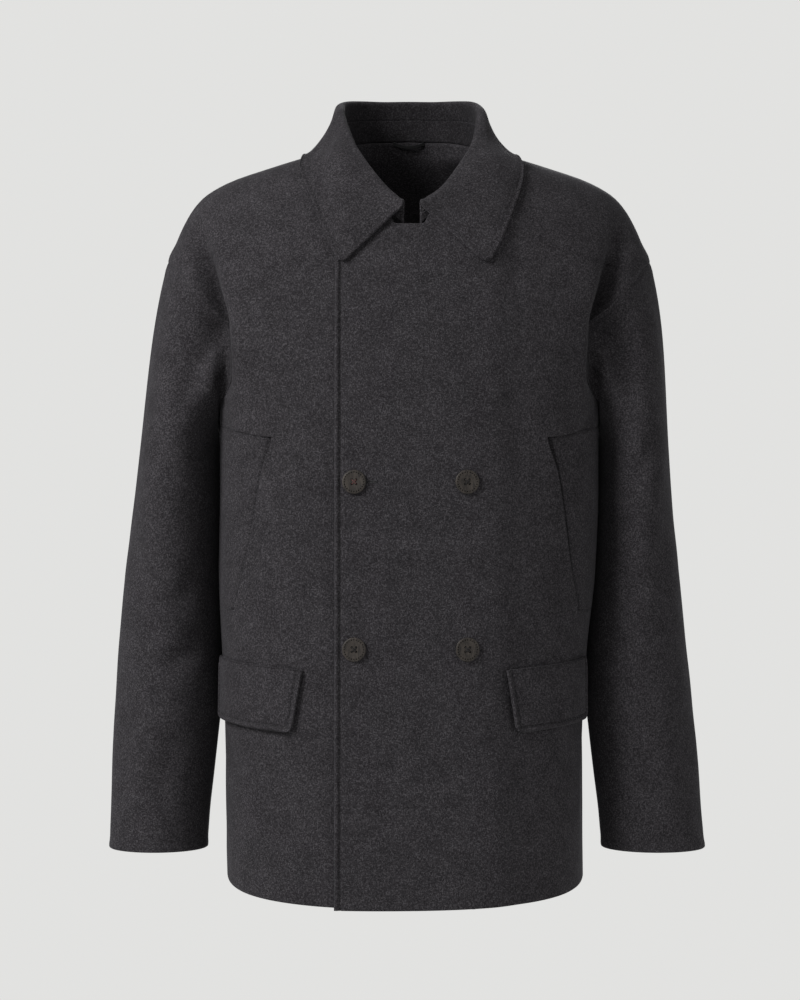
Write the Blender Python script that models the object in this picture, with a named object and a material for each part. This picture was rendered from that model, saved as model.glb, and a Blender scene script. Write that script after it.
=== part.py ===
"""A short double-breasted pea coat, filled out with no wearer, as separate cloth pieces.

Metres, +Z up. +X is the wearer's left, -Y the front. The origin lies in the middle
of the neck, level with the high points of the shoulders.
"""
import math

import bmesh
import bpy
from mathutils import Matrix, Vector

# Driving dimensions
CLOTH = 0.0028            # wall of double-faced wool
FLAP_CLOTH = 0.0034
SEAM = 0.0003             # gap left between sewn pieces
HALF_SEAM = SEAM / 2
LAP_OFFSET = CLOTH + 0.0015   # how far the upper front stands off the lower one
FREE_EDGE_X = -0.0748     # free edge of the upper front, on the wearer's right
UNDER_EDGE_X = 0.066      # free edge of the lower front, hidden under the lap
LAP_RAMP = (0.082, 0.114)     # where the upper front comes back to the body line
HEM_FRONT_Z = -0.768
HEM_SIDE_Z = -0.746
HEM_BACK_Z = -0.762
HEM_ROUNDING = 3.0        # power that keeps the hem level before it rises to the side
UNDERARM_Z = -0.270
TIP_Z = -0.106            # where the shoulder seam meets the sleeve
NECK_POINT_Z = 0.0115     # where the shoulder seam meets the collar
NECK_FRONT_Z = -0.079
NECK_BACK_Z = 0.031
POCKET_TOP_Z = -0.297     # the slanted hand pocket
POCKET_BOTTOM_Z = -0.4725
POCKET_LAP = 0.008        # how far the pocket piece runs under the front
POCKET_TOP_RISE = 0.014   # how much the pocket's upper seam rises to the side
POCKET_RISE_REACH = 0.040
POCKET_EASE = 0.10        # height over which the mouth's column eases back above and below
# How far the pocket piece lies under the front, column by column from the mouth
POCKET_FALL = (CLOTH + 0.0022, CLOTH + 0.0012, 0.0016, 0.0004, 0.0, 0.0, 0.0)
LEVEL_FROM_Z = -0.290     # above this the rows bend to the neck line
LEVEL_TO_Z = -0.600       # below this they bend to the hem line
UNDER_HEM_RISE = 0.001    # the lower front is cut this much shorter
BUTTON_RADIUS = 0.0120
BUTTON_THICK = 0.0032
BUTTON_X = (-0.0547, 0.0570)
BUTTON_Z = (-0.3425, -0.5090)
FLAP_INNER_X = 0.1004
FLAP_TOP_Z = -0.530
FLAP_DROP = 0.064
FLAP_TOP_RISE = 0.009     # how much the top edge rises to the side
FLAP_SLANT = 0.010        # how much the inner edge slants outward
FLAP_CORNER = 0.003       # the lower inner corner is cut back
FLAP_LIFT = 0.0009        # gap under the flap at its top
FLAP_HANG = 0.0008        # what its lower edge stands off besides
FLAP_FLARE = 0.0040       # how far the lower outer corner stands off
FLAP_END_DEGREES = 78

# Rings round the body: height, half width, depth in front, depth behind,
# roundness (2 is an ellipse) and sideways shift
BODY_RINGS = (
    # z, half_width, front, back, roundness, shift
    (-0.780, 0.1865, 0.156, 0.150, 2.8, -0.0035),
    (-0.700, 0.1872, 0.153, 0.147, 2.8, -0.005),
    (-0.600, 0.1878, 0.150, 0.141, 2.8, -0.0055),
    (-0.520, 0.1915, 0.149, 0.136, 2.8, -0.005),
    (-0.430, 0.1980, 0.147, 0.132, 2.8, -0.002),
    (-0.350, 0.1990, 0.146, 0.131, 2.8, 0.000),
    (-0.270, 0.1990, 0.142, 0.133, 2.8, 0.000),
    (-0.240, 0.2140, 0.140, 0.134, 2.6, 0.000),
    (-0.210, 0.2320, 0.138, 0.134, 2.45, 0.000),
    (-0.170, 0.2500, 0.133, 0.132, 2.3, 0.000),
    (-0.140, 0.2580, 0.127, 0.129, 2.2, 0.000),
    (-0.106, 0.2540, 0.119, 0.125, 2.15, 0.000),
    (-0.090, 0.2465, 0.115, 0.122, 2.1, 0.000),
    (-0.074, 0.2396, 0.110, 0.118, 2.1, 0.000),
    (-0.058, 0.2310, 0.104, 0.114, 2.05, 0.000),
    (-0.042, 0.2180, 0.097, 0.109, 2.0, 0.000),
    (-0.0265, 0.1930, 0.090, 0.104, 2.0, 0.000),
    (-0.0106, 0.1470, 0.083, 0.096, 2.0, 0.000),
    (0.0000, 0.1120, 0.080, 0.090, 2.0, 0.000),
    (0.0115, 0.0800, 0.078, 0.084, 2.0, 0.000),
    (0.0320, 0.0740, 0.074, 0.0765, 2.0, 0.000),
)

# Heights of the grid rows at the side, from hem to underarm, armhole and shoulder
SIDE_ROWS = (HEM_SIDE_Z, -0.710, -0.670, -0.630, -0.592, -0.552, -0.512, POCKET_BOTTOM_Z,
             -0.438, -0.402, -0.366, -0.330, POCKET_TOP_Z)
ARM_ROWS = (UNDERARM_Z, -0.254, -0.234, -0.213, -0.191, -0.170, -0.150, -0.132,
            -0.117, TIP_Z)
SHOULDER_ROWS = (-0.090, -0.074, -0.058, -0.042, -0.0265, -0.0106, 0.0000, NECK_POINT_Z)
ROWS = SIDE_ROWS + ARM_ROWS + SHOULDER_ROWS
POCKET_ROW_LOW = SIDE_ROWS.index(POCKET_BOTTOM_Z)
POCKET_ROW_HIGH = SIDE_ROWS.index(POCKET_TOP_Z)
ARM_ROW_LOW = ROWS.index(UNDERARM_Z)
ARM_ROW_HIGH = ROWS.index(TIP_Z)

# Where the columns of a panel stand, from its middle edge (0) to the side (1)
COLUMNS = (0.0, 0.12, 0.24, 0.36, 0.48, 0.535, 0.59, 0.69, 0.78, 0.86, 0.92, 0.965, 1.0)
POCKET_COLUMN = 7

# Armhole seam: height and distance from the middle, tip and underarm excepted
ARMHOLE = (
    # z, x_front, x_back
    (-0.117, 0.2470, 0.2480),
    (-0.132, 0.2360, 0.2390),
    (-0.150, 0.2210, 0.2260),
    (-0.170, 0.2060, 0.2120),
    (-0.191, 0.1930, 0.2000),
    (-0.213, 0.1890, 0.1930),
    (-0.234, 0.1895, 0.1915),
    (-0.254, 0.1945, 0.1950),
)
# Mouth of the hand pocket: height and distance from the middle
POCKET_MOUTH = (
    # z, x
    (-0.297, 0.1395),
    (-0.333, 0.1500),
    (-0.386, 0.1570),
    (-0.434, 0.1640),
    (-0.4725, 0.1715),
)
# Neck seam, by angle from the front
NECK_SEAM = (
    # degrees, z
    (0, NECK_FRONT_Z), (2, NECK_FRONT_Z), (16, -0.0544), (25, -0.0385), (34, -0.0227),
    (42, -0.0090), (56, 0.0040), (72, 0.0092), (90, NECK_POINT_Z), (120, 0.0205),
    (150, 0.0285), (180, NECK_BACK_Z),
)
# Fold between chest and arm: height, distance from the middle and depth
ARM_FOLD = (
    # z, x, depth
    (-0.060, 0.222, 0.000),
    (-0.0787, 0.2188, 0.0025),
    (-0.1044, 0.2091, 0.0060),
    (-0.1424, 0.2042, 0.0080),
    (-0.1756, 0.1980, 0.0060),
    (-0.220, 0.1950, 0.0000),
)
ARM_FOLD_WIDTH = 0.013

# Sleeve rings: height, outer and inner distance from the middle, front, back, shift
SLEEVE_RINGS = (
    # z, outer, inner, front, back, shift
    (-0.310, 0.2800, 0.2026, -0.082, 0.097, -0.005),
    (-0.350, 0.2835, 0.2016, -0.080, 0.092, -0.006),
    (-0.400, 0.2885, 0.2010, -0.077, 0.085, -0.007),
    (-0.450, 0.2935, 0.1997, -0.075, 0.077, -0.007),
    (-0.500, 0.2980, 0.1958, -0.073, 0.069, -0.007),
    (-0.550, 0.3022, 0.1932, -0.073, 0.061, -0.006),
    (-0.600, 0.3055, 0.1950, -0.072, 0.053, -0.005),
    (-0.645, 0.3085, 0.1998, -0.070, 0.045, -0.004),
    (-0.690, 0.3107, 0.2048, -0.068, 0.037, -0.003),
    (-0.7245, 0.3130, 0.2070, -0.066, 0.031, -0.002),
)
SLEEVE_SEAM = 0.0006      # gap at the armhole, wide enough for the two curved edges
SLEEVE_TOP_LEAN = 0.28    # the top of the sleeve leaves the shoulder this much outward
SLEEVE_UNDER_EASE = 0.75  # how much sooner the underarm turns down than the top
SLEEVE_BLEND_ROWS = (0.14, 0.30, 0.47, 0.64, 0.82)

# Collar stations from the middle of the back round to the front edge
COLLAR = (
    # neck_degrees, roll_x, roll_y, roll_z, edge_x, edge_z, edge_in_front
    (180, 0.0000, 0.0800, 0.0746, 0.000, 0.004, False),
    (165, 0.0230, 0.0770, 0.0738, 0.030, 0.0045, False),
    (148, 0.0450, 0.0660, 0.0725, 0.060, 0.005, False),
    (128, 0.0625, 0.0450, 0.0688, 0.083, 0.004, False),
    (108, 0.0710, 0.0190, 0.0615, 0.100, 0.001, False),
    (86, 0.0720, -0.0080, 0.0510, 0.111, -0.006, True),
    (75, 0.0700, -0.0210, 0.0420, 0.1085, -0.016, True),
    (64, 0.0670, -0.0340, 0.0320, 0.1035, -0.027, True),
    (52, 0.0620, -0.0480, 0.0195, 0.0995, -0.0385, True),
    (41, 0.0560, -0.0610, 0.0070, 0.0953, -0.0503, True),
    (33, 0.0485, -0.0725, -0.0065, 0.0908, -0.0617, True),
    (25, 0.0400, -0.0840, -0.0210, 0.0862, -0.0730, True),
    (13.5, 0.0220, -0.1030, -0.0450, 0.0774, -0.0949, True),
    (4.2, 0.0080, -0.1130, -0.0600, 0.0668, -0.1202, True),
)
STAND_SHARE = 0.58        # how much of the inside height is the stand
ROLL_WIDTH = 0.0072       # between the middles of the cloth on both sides of the roll
ROLL_DROP = 0.0045        # from the top of the roll down to where its sides are straight
ROLL_FULLNESS = 0.0008
STAND_LIFT = 0.0008       # gap under the stand
FRONT_STAND_LIFT = 0.0085     # and how much more at its front ends, over both fronts
FRONT_STAND_DEGREES = 24
COLLAR_LIFT = 0.0082      # leaf's middle above the body, over the lap
COLLAR_BACK_LIFT = 0.0066     # and behind the shoulders
COLLAR_LAP_DEGREES = 70
FALL_SHARES = (0.2, 0.42, 0.62, 0.82)

# Button: radius and height of its outline, from the middle of its back round to its face
BUTTON_OUTLINE = ((0.0, 0.0), (0.0098, 0.0), (0.0117, 0.0008), (BUTTON_RADIUS, 0.0017),
                  (0.0116, 0.0028), (0.0106, BUTTON_THICK), (0.0094, 0.0028),
                  (0.0086, 0.0023), (0.0, 0.0022))
BUTTON_SIDES = 24
HOLE_PITCH = 0.0018
HOLE_RADIUS = 0.00085
HOLE_DEPTH = 0.008

LOOP_HALF_LENGTH = 0.018
LOOP_HEIGHT = 0.0050
LOOP_THICK = 0.0012
LOOP_DROP = 0.0010        # below the neck seam at its ends
LOOP_SAG = 0.0035         # and how much lower in the middle
LOOP_SLACK = 0.0030       # how far its middle stands off the cloth
LOOP_STEPS = 8


def blend(table, key, column):
    """Value of a column at a key, smoothly along a table sorted by its first column."""
    rows = table if table[0][0] < table[-1][0] else table[::-1]
    if key <= rows[0][0]:
        return rows[0][column]
    if key >= rows[-1][0]:
        return rows[-1][column]
    for i in range(len(rows) - 1):
        low, high = rows[i], rows[i + 1]
        if low[0] <= key <= high[0]:
            break
    before = rows[max(i - 1, 0)]
    after = rows[min(i + 2, len(rows) - 1)]
    span = high[0] - low[0]
    step = (high[column] - low[column]) / span
    start = limited_slope(before, low, high, column, step)
    end = limited_slope(low, high, after, column, step)
    t = (key - low[0]) / span
    return (low[column] * (1 + 2 * t) * (1 - t) ** 2 + high[column] * t * t * (3 - 2 * t)
            + span * t * (1 - t) * (start * (1 - t) - end * t))


def limited_slope(left, middle, right, column, step):
    """Slope at the middle row that never makes the curve overshoot."""
    if left is middle or middle is right:
        return step
    slope_left = (middle[column] - left[column]) / (middle[0] - left[0])
    slope_right = (right[column] - middle[column]) / (right[0] - middle[0])
    if slope_left * slope_right <= 0:
        return 0.0
    return 2 * slope_left * slope_right / (slope_left + slope_right)


def smoothstep(low, high, value):
    t = min(max((value - low) / (high - low), 0.0), 1.0)
    return t * t * (3 - 2 * t)


def body_base(angle, z):
    """Point of the body's outer surface; angle 0 is the front, 90 degrees the +X side."""
    half_width, front, back, roundness, shift = (blend(BODY_RINGS, z, c) for c in range(1, 6))
    across, along = math.sin(angle), -math.cos(angle)
    depth = front if along < 0 else back
    reach = (abs(across) / half_width) ** roundness + (abs(along) / depth) ** roundness
    radius = reach ** (-1 / roundness)
    return Vector((radius * across + shift, radius * along, z))


def fold_depth(point):
    """Depth of the soft valley between the chest and the arm."""
    if not ARM_FOLD[-1][0] < point.z < ARM_FOLD[0][0]:
        return 0.0
    middle = blend(ARM_FOLD, point.z, 1)
    away = (abs(point.x) - middle) / ARM_FOLD_WIDTH
    return blend(ARM_FOLD, point.z, 2) * math.exp(-away * away)


def body_normal(angle, z):
    small_angle, small_z = 0.01, 0.002
    along = body_base(angle + small_angle, z) - body_base(angle - small_angle, z)
    up = body_base(angle, z + small_z) - body_base(angle, z - small_z)
    return along.cross(up).normalized()


def body_point(angle, z, offset=0.0):
    point = body_base(angle, z)
    return point + body_normal(angle, z) * (offset - fold_depth(point))


def angle_at(x, z, in_front=True):
    """Angle at which the body's ring at height z has this x."""
    low, high = (0.0, math.pi / 2) if in_front else (math.pi, math.pi / 2)
    side = 1 if x >= blend(BODY_RINGS, z, 5) else -1
    for _ in range(40):
        middle = (low + high) / 2
        if (body_base(side * middle, z).x - x) * side < 0:
            low = middle
        else:
            high = middle
    return side * (low + high) / 2


def wall(name, outer, inner, kept, material):
    """One closed piece of cloth between two grids of points, over the kept cells."""
    mesh = bmesh.new()
    faces = []
    for row, column in kept:
        faces.append(((row, column), (row, column + 1), (row + 1, column + 1), (row + 1, column)))
    directed = set()
    for face in faces:
        for a, b in zip(face, face[1:] + face[:1]):
            directed.add((a, b))
    vertices = {}
    for layer, points in enumerate((outer, inner)):
        for face in faces:
            for key in face:
                if (layer, key) not in vertices:
                    vertices[layer, key] = mesh.verts.new(points[key[0]][key[1]])
    for face in faces:
        skin(mesh, [vertices[0, key] for key in face], [vertices[1, key] for key in face])
    for a, b in sorted(directed):
        if (b, a) not in directed:
            split_quad(mesh, vertices[0, b], vertices[0, a], vertices[1, a], vertices[1, b])
    return finished(name, mesh, material)


def skin(mesh, outer, inner):
    """Both faces of one cell of cloth, folded along the same diagonal so they never cross."""
    if short_way(*outer):
        corners = ((0, 1, 2), (0, 2, 3))
    else:
        corners = ((0, 1, 3), (1, 2, 3))
    for a, b, c in corners:
        mesh.faces.new((outer[a], outer[b], outer[c]))
        mesh.faces.new((inner[c], inner[b], inner[a]))


def short_way(a, b, c, d):
    """Whether the first diagonal is the shorter one."""
    return (a.co - c.co).length <= (b.co - d.co).length


def split_quad(mesh, a, b, c, d):
    if short_way(a, b, c, d):
        mesh.faces.new((a, b, c))
        mesh.faces.new((a, c, d))
    else:
        mesh.faces.new((a, b, d))
        mesh.faces.new((b, c, d))


def finished(name, mesh, material):
    """Turn a bmesh into a named object with its faces outward and its round parts smooth."""
    bmesh.ops.recalc_face_normals(mesh, faces=mesh.faces)
    data = bpy.data.meshes.new(name)
    mesh.to_mesh(data)
    mesh.free()
    data.materials.append(material)
    data.shade_smooth()
    data.set_sharp_from_angle(angle=math.radians(40))
    part = bpy.data.objects.new(name, data)
    bpy.context.scene.collection.objects.link(part)
    return part


def material(name, colour, roughness, metallic=0.0):
    made = bpy.data.materials.new(name)
    made.use_nodes = True
    shader = made.node_tree.nodes["Principled BSDF"]
    shader.inputs["Base Color"].default_value = (*colour, 1)
    shader.inputs["Roughness"].default_value = roughness
    shader.inputs["Metallic"].default_value = metallic
    return made


def panel_height(side_z, hem_z, top_z):
    """Height of a grid row away from the side: level in the middle, bent at hem and top."""
    upper = min(max((side_z - LEVEL_FROM_Z) / (NECK_POINT_Z - LEVEL_FROM_Z), 0.0), 1.0)
    lower = min(max((LEVEL_TO_Z - side_z) / (LEVEL_TO_Z - HEM_SIDE_Z), 0.0), 1.0)
    return side_z + (top_z - NECK_POINT_Z) * upper + (hem_z - HEM_SIDE_Z) * lower


def side_angle(row, front):
    """Angle of a panel's outer edge at a row: side seam, armhole or shoulder seam."""
    z = ROWS[row]
    if ARM_ROW_LOW < row < ARM_ROW_HIGH:
        x = blend(ARMHOLE, z, 1 if front else 2)
        return angle_at(x, z, front)
    return math.pi / 2


def seam_trim(row, angle, z):
    """Angle that half a seam gap takes at this edge."""
    radius = body_base(angle, z).xy.length
    return HALF_SEAM / radius


def mouth_angle(side, z):
    x = blend(POCKET_MOUTH, z, 1)
    return angle_at(side * x + blend(BODY_RINGS, z, 5), z)


def neck_height(angle, side):
    """Height of the neck seam at an angle; past the middle it is the top of the lap."""
    return blend(NECK_SEAM, max(math.degrees(angle * side), 0.0), 1)


def front_grid(side, edge_x, lapping):
    """Angles and heights of a front's grid, from its free edge to the side."""
    grid = []
    top_edge = angle_at(edge_x, NECK_FRONT_Z)
    for row, side_z in enumerate(ROWS):
        outer = side * side_angle(row, True)
        outer -= side * seam_trim(row, outer, side_z)
        edge_z = panel_height(side_z, HEM_FRONT_Z, NECK_FRONT_Z)
        edge = angle_at(edge_x, edge_z)
        line = []
        for column, share in enumerate(COLUMNS):
            top_z = neck_height(top_edge + (side * math.pi / 2 - top_edge) * share, side)
            hem_z = HEM_FRONT_Z + (HEM_SIDE_Z - HEM_FRONT_Z) * share ** HEM_ROUNDING
            z = panel_height(side_z, hem_z, top_z)
            if not lapping and row == 0:
                z += UNDER_HEM_RISE * (1 - share)
            if row == len(ROWS) - 1:
                z -= HALF_SEAM
            pocket_share = COLUMNS[POCKET_COLUMN]
            middle = pocket_angle(side, z, edge, outer)
            beyond = (share - pocket_share) / (1 - pocket_share)
            if share <= pocket_share:
                angle = edge + (middle - edge) * share / pocket_share
            else:
                angle = middle + (outer - middle) * beyond
                near = max(0.0, 1 - abs(side_z - POCKET_TOP_Z) / POCKET_RISE_REACH)
                z += POCKET_TOP_RISE * beyond * near * (1 - smoothstep(0.7, 1.0, beyond))
            line.append((angle, z))
        grid.append(line)
    return grid


def pocket_angle(side, z, edge, outer):
    """Angle of the grid column that follows the pocket mouth, easing off above and below."""
    plain = edge + (outer - edge) * COLUMNS[POCKET_COLUMN]
    clamped = min(max(z, POCKET_BOTTOM_Z), POCKET_TOP_Z)
    mouth = mouth_angle(side, clamped)
    away = max(z - POCKET_TOP_Z, POCKET_BOTTOM_Z - z, 0.0)
    return mouth + (plain - mouth) * smoothstep(0.0, POCKET_EASE, away)


def lap_offset(point):
    return LAP_OFFSET * (1 - smoothstep(*LAP_RAMP, point.x))


def layers(grid, lapping, depth=CLOTH, base=lambda row, column: 0.0):
    """Outer and inner points of a panel."""
    outer, inner = [], []
    for row, line in enumerate(grid):
        outer_line, inner_line = [], []
        for column, (angle, z) in enumerate(line):
            offset = base(row, column)
            if lapping:
                offset += lap_offset(body_base(angle, z))
            outer_line.append(body_point(angle, z, offset))
            inner_line.append(body_point(angle, z, offset - depth))
        outer.append(outer_line)
        inner.append(inner_line)
    return outer, inner


def oriented(points, side):
    """Mirror the columns of a grid so that its faces point outward on either side."""
    return points if side > 0 else [line[::-1] for line in points]


def all_cells(rows, columns):
    return [(row, column) for row in range(rows - 1) for column in range(columns - 1)]


def build_front(name, side, edge_x, lapping, cloth):
    grid = front_grid(side, edge_x, lapping)
    outer, inner = layers(grid, lapping)
    kept = []
    for row, column in all_cells(len(ROWS), len(COLUMNS)):
        in_pocket = POCKET_ROW_LOW <= row < POCKET_ROW_HIGH and column >= POCKET_COLUMN
        if not in_pocket:
            kept.append((row, column))
    if side < 0:
        last = len(COLUMNS) - 2
        kept = [(row, last - column) for row, column in kept]
    wall(name, oriented(outer, side), oriented(inner, side), kept, cloth)
    return grid


def build_pocket(name, side, front, cloth):
    """The wedge of cloth that runs under the slanted mouth and fills up to the side seam."""
    grid = []
    for row in range(POCKET_ROW_LOW, POCKET_ROW_HIGH + 1):
        line = []
        trim = 0.0
        if row == POCKET_ROW_LOW:
            trim = SEAM
        if row == POCKET_ROW_HIGH:
            trim = -SEAM
        for column in range(POCKET_COLUMN, len(COLUMNS)):
            angle, z = front[row][column]
            line.append((angle, z + trim))
        lip_angle, lip_z = line[0]
        under = POCKET_LAP / body_base(lip_angle, lip_z).xy.length
        line.insert(0, (lip_angle - side * under, lip_z))
        grid.append(line)

    def base(row, column):
        return -POCKET_FALL[column]

    outer, inner = layers(grid, False, CLOTH, base)
    cells = all_cells(len(grid), len(grid[0]))
    wall(name, oriented(outer, side), oriented(inner, side), cells, cloth)


def build_back(name, side, cloth):
    grid = []
    for row, side_z in enumerate(ROWS):
        line = []
        outer = side_angle(row, False)
        outer += seam_trim(row, outer, side_z)
        for share in COLUMNS:
            top_z = blend(NECK_SEAM, 180 - 90 * share, 1)
            hem_z = HEM_BACK_Z + (HEM_SIDE_Z - HEM_BACK_Z) * share ** HEM_ROUNDING
            z = panel_height(side_z, hem_z, top_z)
            if row == len(ROWS) - 1:
                z -= HALF_SEAM
            middle = math.pi - HALF_SEAM / body_base(math.pi, z).xy.length
            line.append((side * (middle + (outer - middle) * share), z))
        grid.append(line)
    outer, inner = layers(grid, False)
    cells = all_cells(len(ROWS), len(COLUMNS))
    wall(name, oriented(outer, -side), oriented(inner, -side), cells, cloth)


def armhole_loop(side):
    """Seam points from the shoulder tip down the front, under the arm and up the back."""
    loop = []
    for row in range(ARM_ROW_HIGH, ARM_ROW_LOW - 1, -1):
        loop.append((side * side_angle(row, True), ROWS[row]))
    for row in range(ARM_ROW_LOW + 1, ARM_ROW_HIGH):
        loop.append((side * side_angle(row, False), ROWS[row]))
    return loop


def sleeve_ring(side, z, turn):
    outer, inner, front, back, shift = (blend(SLEEVE_RINGS, z, c) for c in range(1, 6))
    outer_x = side * outer + shift
    inner_x = side * inner + blend(BODY_RINGS, z, 5)
    x = (outer_x + inner_x) / 2 + (outer_x - inner_x) / 2 * math.cos(turn)
    y = (front + back) / 2 - (back - front) / 2 * math.sin(turn)
    return Vector((x, y, z))


def sleeve_grid(side):
    """Rows of points round the sleeve, from the armhole to the cuff."""
    loop = armhole_loop(side)
    count = len(loop)
    turns = [2 * math.pi * k / count for k in range(count)]
    first_z = SLEEVE_RINGS[0][0]
    seam_points = [body_point(angle, z) for angle, z in loop]
    seam_normals = [body_normal(angle, z) for angle, z in loop]
    first, starts, ends, drops = [], [], [], []
    for k in range(count):
        ahead = seam_points[(k + 1) % count] - seam_points[k - 1]
        outward = seam_normals[k].cross(ahead).normalized() * side
        low = (1 - math.cos(turns[k])) / 2
        first.append(seam_points[k] + outward * SLEEVE_SEAM)
        leaving = outward
        if k == 0:
            leaving = Vector((side * SLEEVE_TOP_LEAN, 0, -math.sqrt(1 - SLEEVE_TOP_LEAN ** 2)))
        end = sleeve_ring(side, first_z, turns[k])
        below = sleeve_ring(side, first_z - 0.04, turns[k])
        length = (end - first[k]).length
        starts.append(leaving * length * (1.0 - SLEEVE_UNDER_EASE * low))
        drops.append((below - end).normalized() * length)
        ends.append(end)
    rows = [first]
    for s in SLEEVE_BLEND_ROWS:
        line = []
        for k in range(count):
            line.append(first[k] * (1 + 2 * s) * (1 - s) ** 2 + ends[k] * s * s * (3 - 2 * s)
                        + starts[k] * s * (1 - s) ** 2 - drops[k] * s * s * (1 - s))
        rows.append(line)
    for ring in SLEEVE_RINGS:
        rows.append([sleeve_ring(side, ring[0], turn) for turn in turns])
    return rows, seam_normals


def grid_normals(rows, closed):
    """Normals of a grid from the differences between neighbouring points."""
    normals = []
    height, width = len(rows), len(rows[0])
    for i in range(height):
        line = []
        for k in range(width):
            up = rows[max(i - 1, 0)][k] - rows[min(i + 1, height - 1)][k]
            if closed:
                along = rows[i][(k + 1) % width] - rows[i][k - 1]
            else:
                along = rows[i][min(k + 1, width - 1)] - rows[i][max(k - 1, 0)]
            line.append(along.cross(up).normalized())
        normals.append(line)
    return normals


def build_sleeve(name, side, cloth):
    rows, seam_normals = sleeve_grid(side)
    normals = grid_normals(rows, True)
    width = len(rows[0])
    outward = 1 if (normals[-1][0].x * side) > 0 else -1
    mesh = bmesh.new()
    outer, inner = [], []
    for i, line in enumerate(rows):
        outer.append([mesh.verts.new(p) for p in line])
        inner_line = []
        for k, point in enumerate(line):
            normal = normals[i][k] * outward
            if i == 0:
                normal = seam_normals[k]
            inner_line.append(mesh.verts.new(point - normal * CLOTH))
        inner.append(inner_line)
    for i in range(len(rows) - 1):
        for k in range(width):
            m = (k + 1) % width
            skin(mesh, (outer[i][k], outer[i][m], outer[i + 1][m], outer[i + 1][k]),
                 (inner[i][k], inner[i][m], inner[i + 1][m], inner[i + 1][k]))
    for k in range(width):
        m = (k + 1) % width
        split_quad(mesh, outer[0][m], outer[0][k], inner[0][k], inner[0][m])
        split_quad(mesh, outer[-1][k], outer[-1][m], inner[-1][m], inner[-1][k])
    finished(name, mesh, cloth)


def collar_stations():
    """Neck seam, roll and edge points all the way round, from one front edge to the other."""
    half = []
    for degrees, roll_x, roll_y, roll_z, edge_x, edge_z, in_front in COLLAR:
        angle = math.radians(degrees)
        seam = body_base(angle, blend(NECK_SEAM, degrees, 1))
        edge_angle = angle_at(edge_x, edge_z, in_front) if edge_x else math.pi
        edge = body_point(edge_angle, edge_z, COLLAR_LIFT if degrees < COLLAR_LAP_DEGREES else COLLAR_BACK_LIFT)
        half.append((seam, Vector((roll_x, roll_y, roll_z)), edge))
    mirrored = []
    for station in half[:0:-1]:
        mirrored.append(tuple(Vector((-p.x, p.y, p.z)) for p in station))
    return mirrored + half


def radial(point):
    return Vector((point.x, point.y, 0)).normalized()


def lifted(point, need):
    """Move a point off the body along its normal until it is clear by the needed amount."""
    if point.z > BODY_RINGS[-1][0]:
        return point
    angle = math.atan2(point.x, -point.y)
    normal = body_normal(angle, point.z)
    beyond = point.xy.length - body_base(angle, point.z).xy.length
    clear = beyond * normal.dot(radial(point))
    return point + normal * max(need - clear, 0.0)


def collar_lines():
    """Rows of points up the stand, over the roll and down to the leaf's edge."""
    up = Vector((0, 0, 1))
    lines = []
    for seam, roll, edge in collar_stations():
        out = radial(seam)
        degrees = math.degrees(math.atan2(abs(seam.x), -seam.y))
        lift = STAND_LIFT + FRONT_STAND_LIFT * max(0.0, 1 - degrees / FRONT_STAND_DEGREES)
        foot = seam + up * lift - out * (CLOTH / 2)
        shoulder = roll - up * ROLL_DROP - out * (CLOTH / 2)
        crown = roll - up * (CLOTH / 2) + out * (ROLL_WIDTH / 2 - CLOTH / 2)
        fall = roll - up * ROLL_DROP + out * (ROLL_WIDTH - CLOTH / 2 + ROLL_FULLNESS)
        rise = shoulder - foot
        gap = rise.normalized() * HALF_SEAM
        top = foot + rise * STAND_SHARE
        line = [foot, foot + rise * STAND_SHARE / 2, top - gap, top + gap, shoulder, crown, fall]
        for share in FALL_SHARES:
            need = COLLAR_LIFT if degrees < COLLAR_LAP_DEGREES else COLLAR_BACK_LIFT
            line.append(lifted(fall + (edge - fall) * share, need))
        line.append(edge)
        lines.append(line)
    return lines


def build_collar(cloth):
    lines = collar_lines()
    normals = grid_normals(lines, False)
    outer, inner = [], []
    for line, normal_line in zip(lines, normals):
        outer.append([p + n * (CLOTH / 2) for p, n in zip(line, normal_line)])
        inner.append([p - n * (CLOTH / 2) for p, n in zip(line, normal_line)])
    last = len(outer[0]) - 1
    stations = range(len(outer) - 1)
    stand = [(i, k) for i in stations for k in range(2)]
    leaf = [(i, k) for i in stations for k in range(3, last)]
    wall("collar_stand", outer, inner, stand, cloth)
    wall("collar_leaf", outer, inner, leaf, cloth)


def build_flap(name, side, cloth):
    columns, rows = 8, 5
    outer, inner = [], []
    for row in range(rows + 1):
        down = row / rows
        outer_line, inner_line = [], []
        for column in range(columns + 1):
            across = column / columns
            top_z = FLAP_TOP_Z + FLAP_TOP_RISE * across
            z = top_z - FLAP_DROP * down
            shift = blend(BODY_RINGS, z, 5)
            start_x = FLAP_INNER_X + FLAP_SLANT * down
            if row == rows and column == 0:
                start_x += FLAP_CORNER
                z += FLAP_CORNER
            start = angle_at(side * start_x + shift, z)
            end = side * math.radians(FLAP_END_DEGREES)
            angle = start + (end - start) * across
            lift = FLAP_LIFT + FLAP_HANG * down + FLAP_FLARE * down * across ** 2
            if side > 0:
                lift += lap_offset(body_base(angle, z))
            outer_line.append(body_point(angle, z, lift + FLAP_CLOTH))
            inner_line.append(body_point(angle, z, lift))
        outer.append(outer_line)
        inner.append(inner_line)
    cells = all_cells(rows + 1, columns + 1)
    wall(name, oriented(outer, side), oriented(inner, side), cells, cloth)


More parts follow.
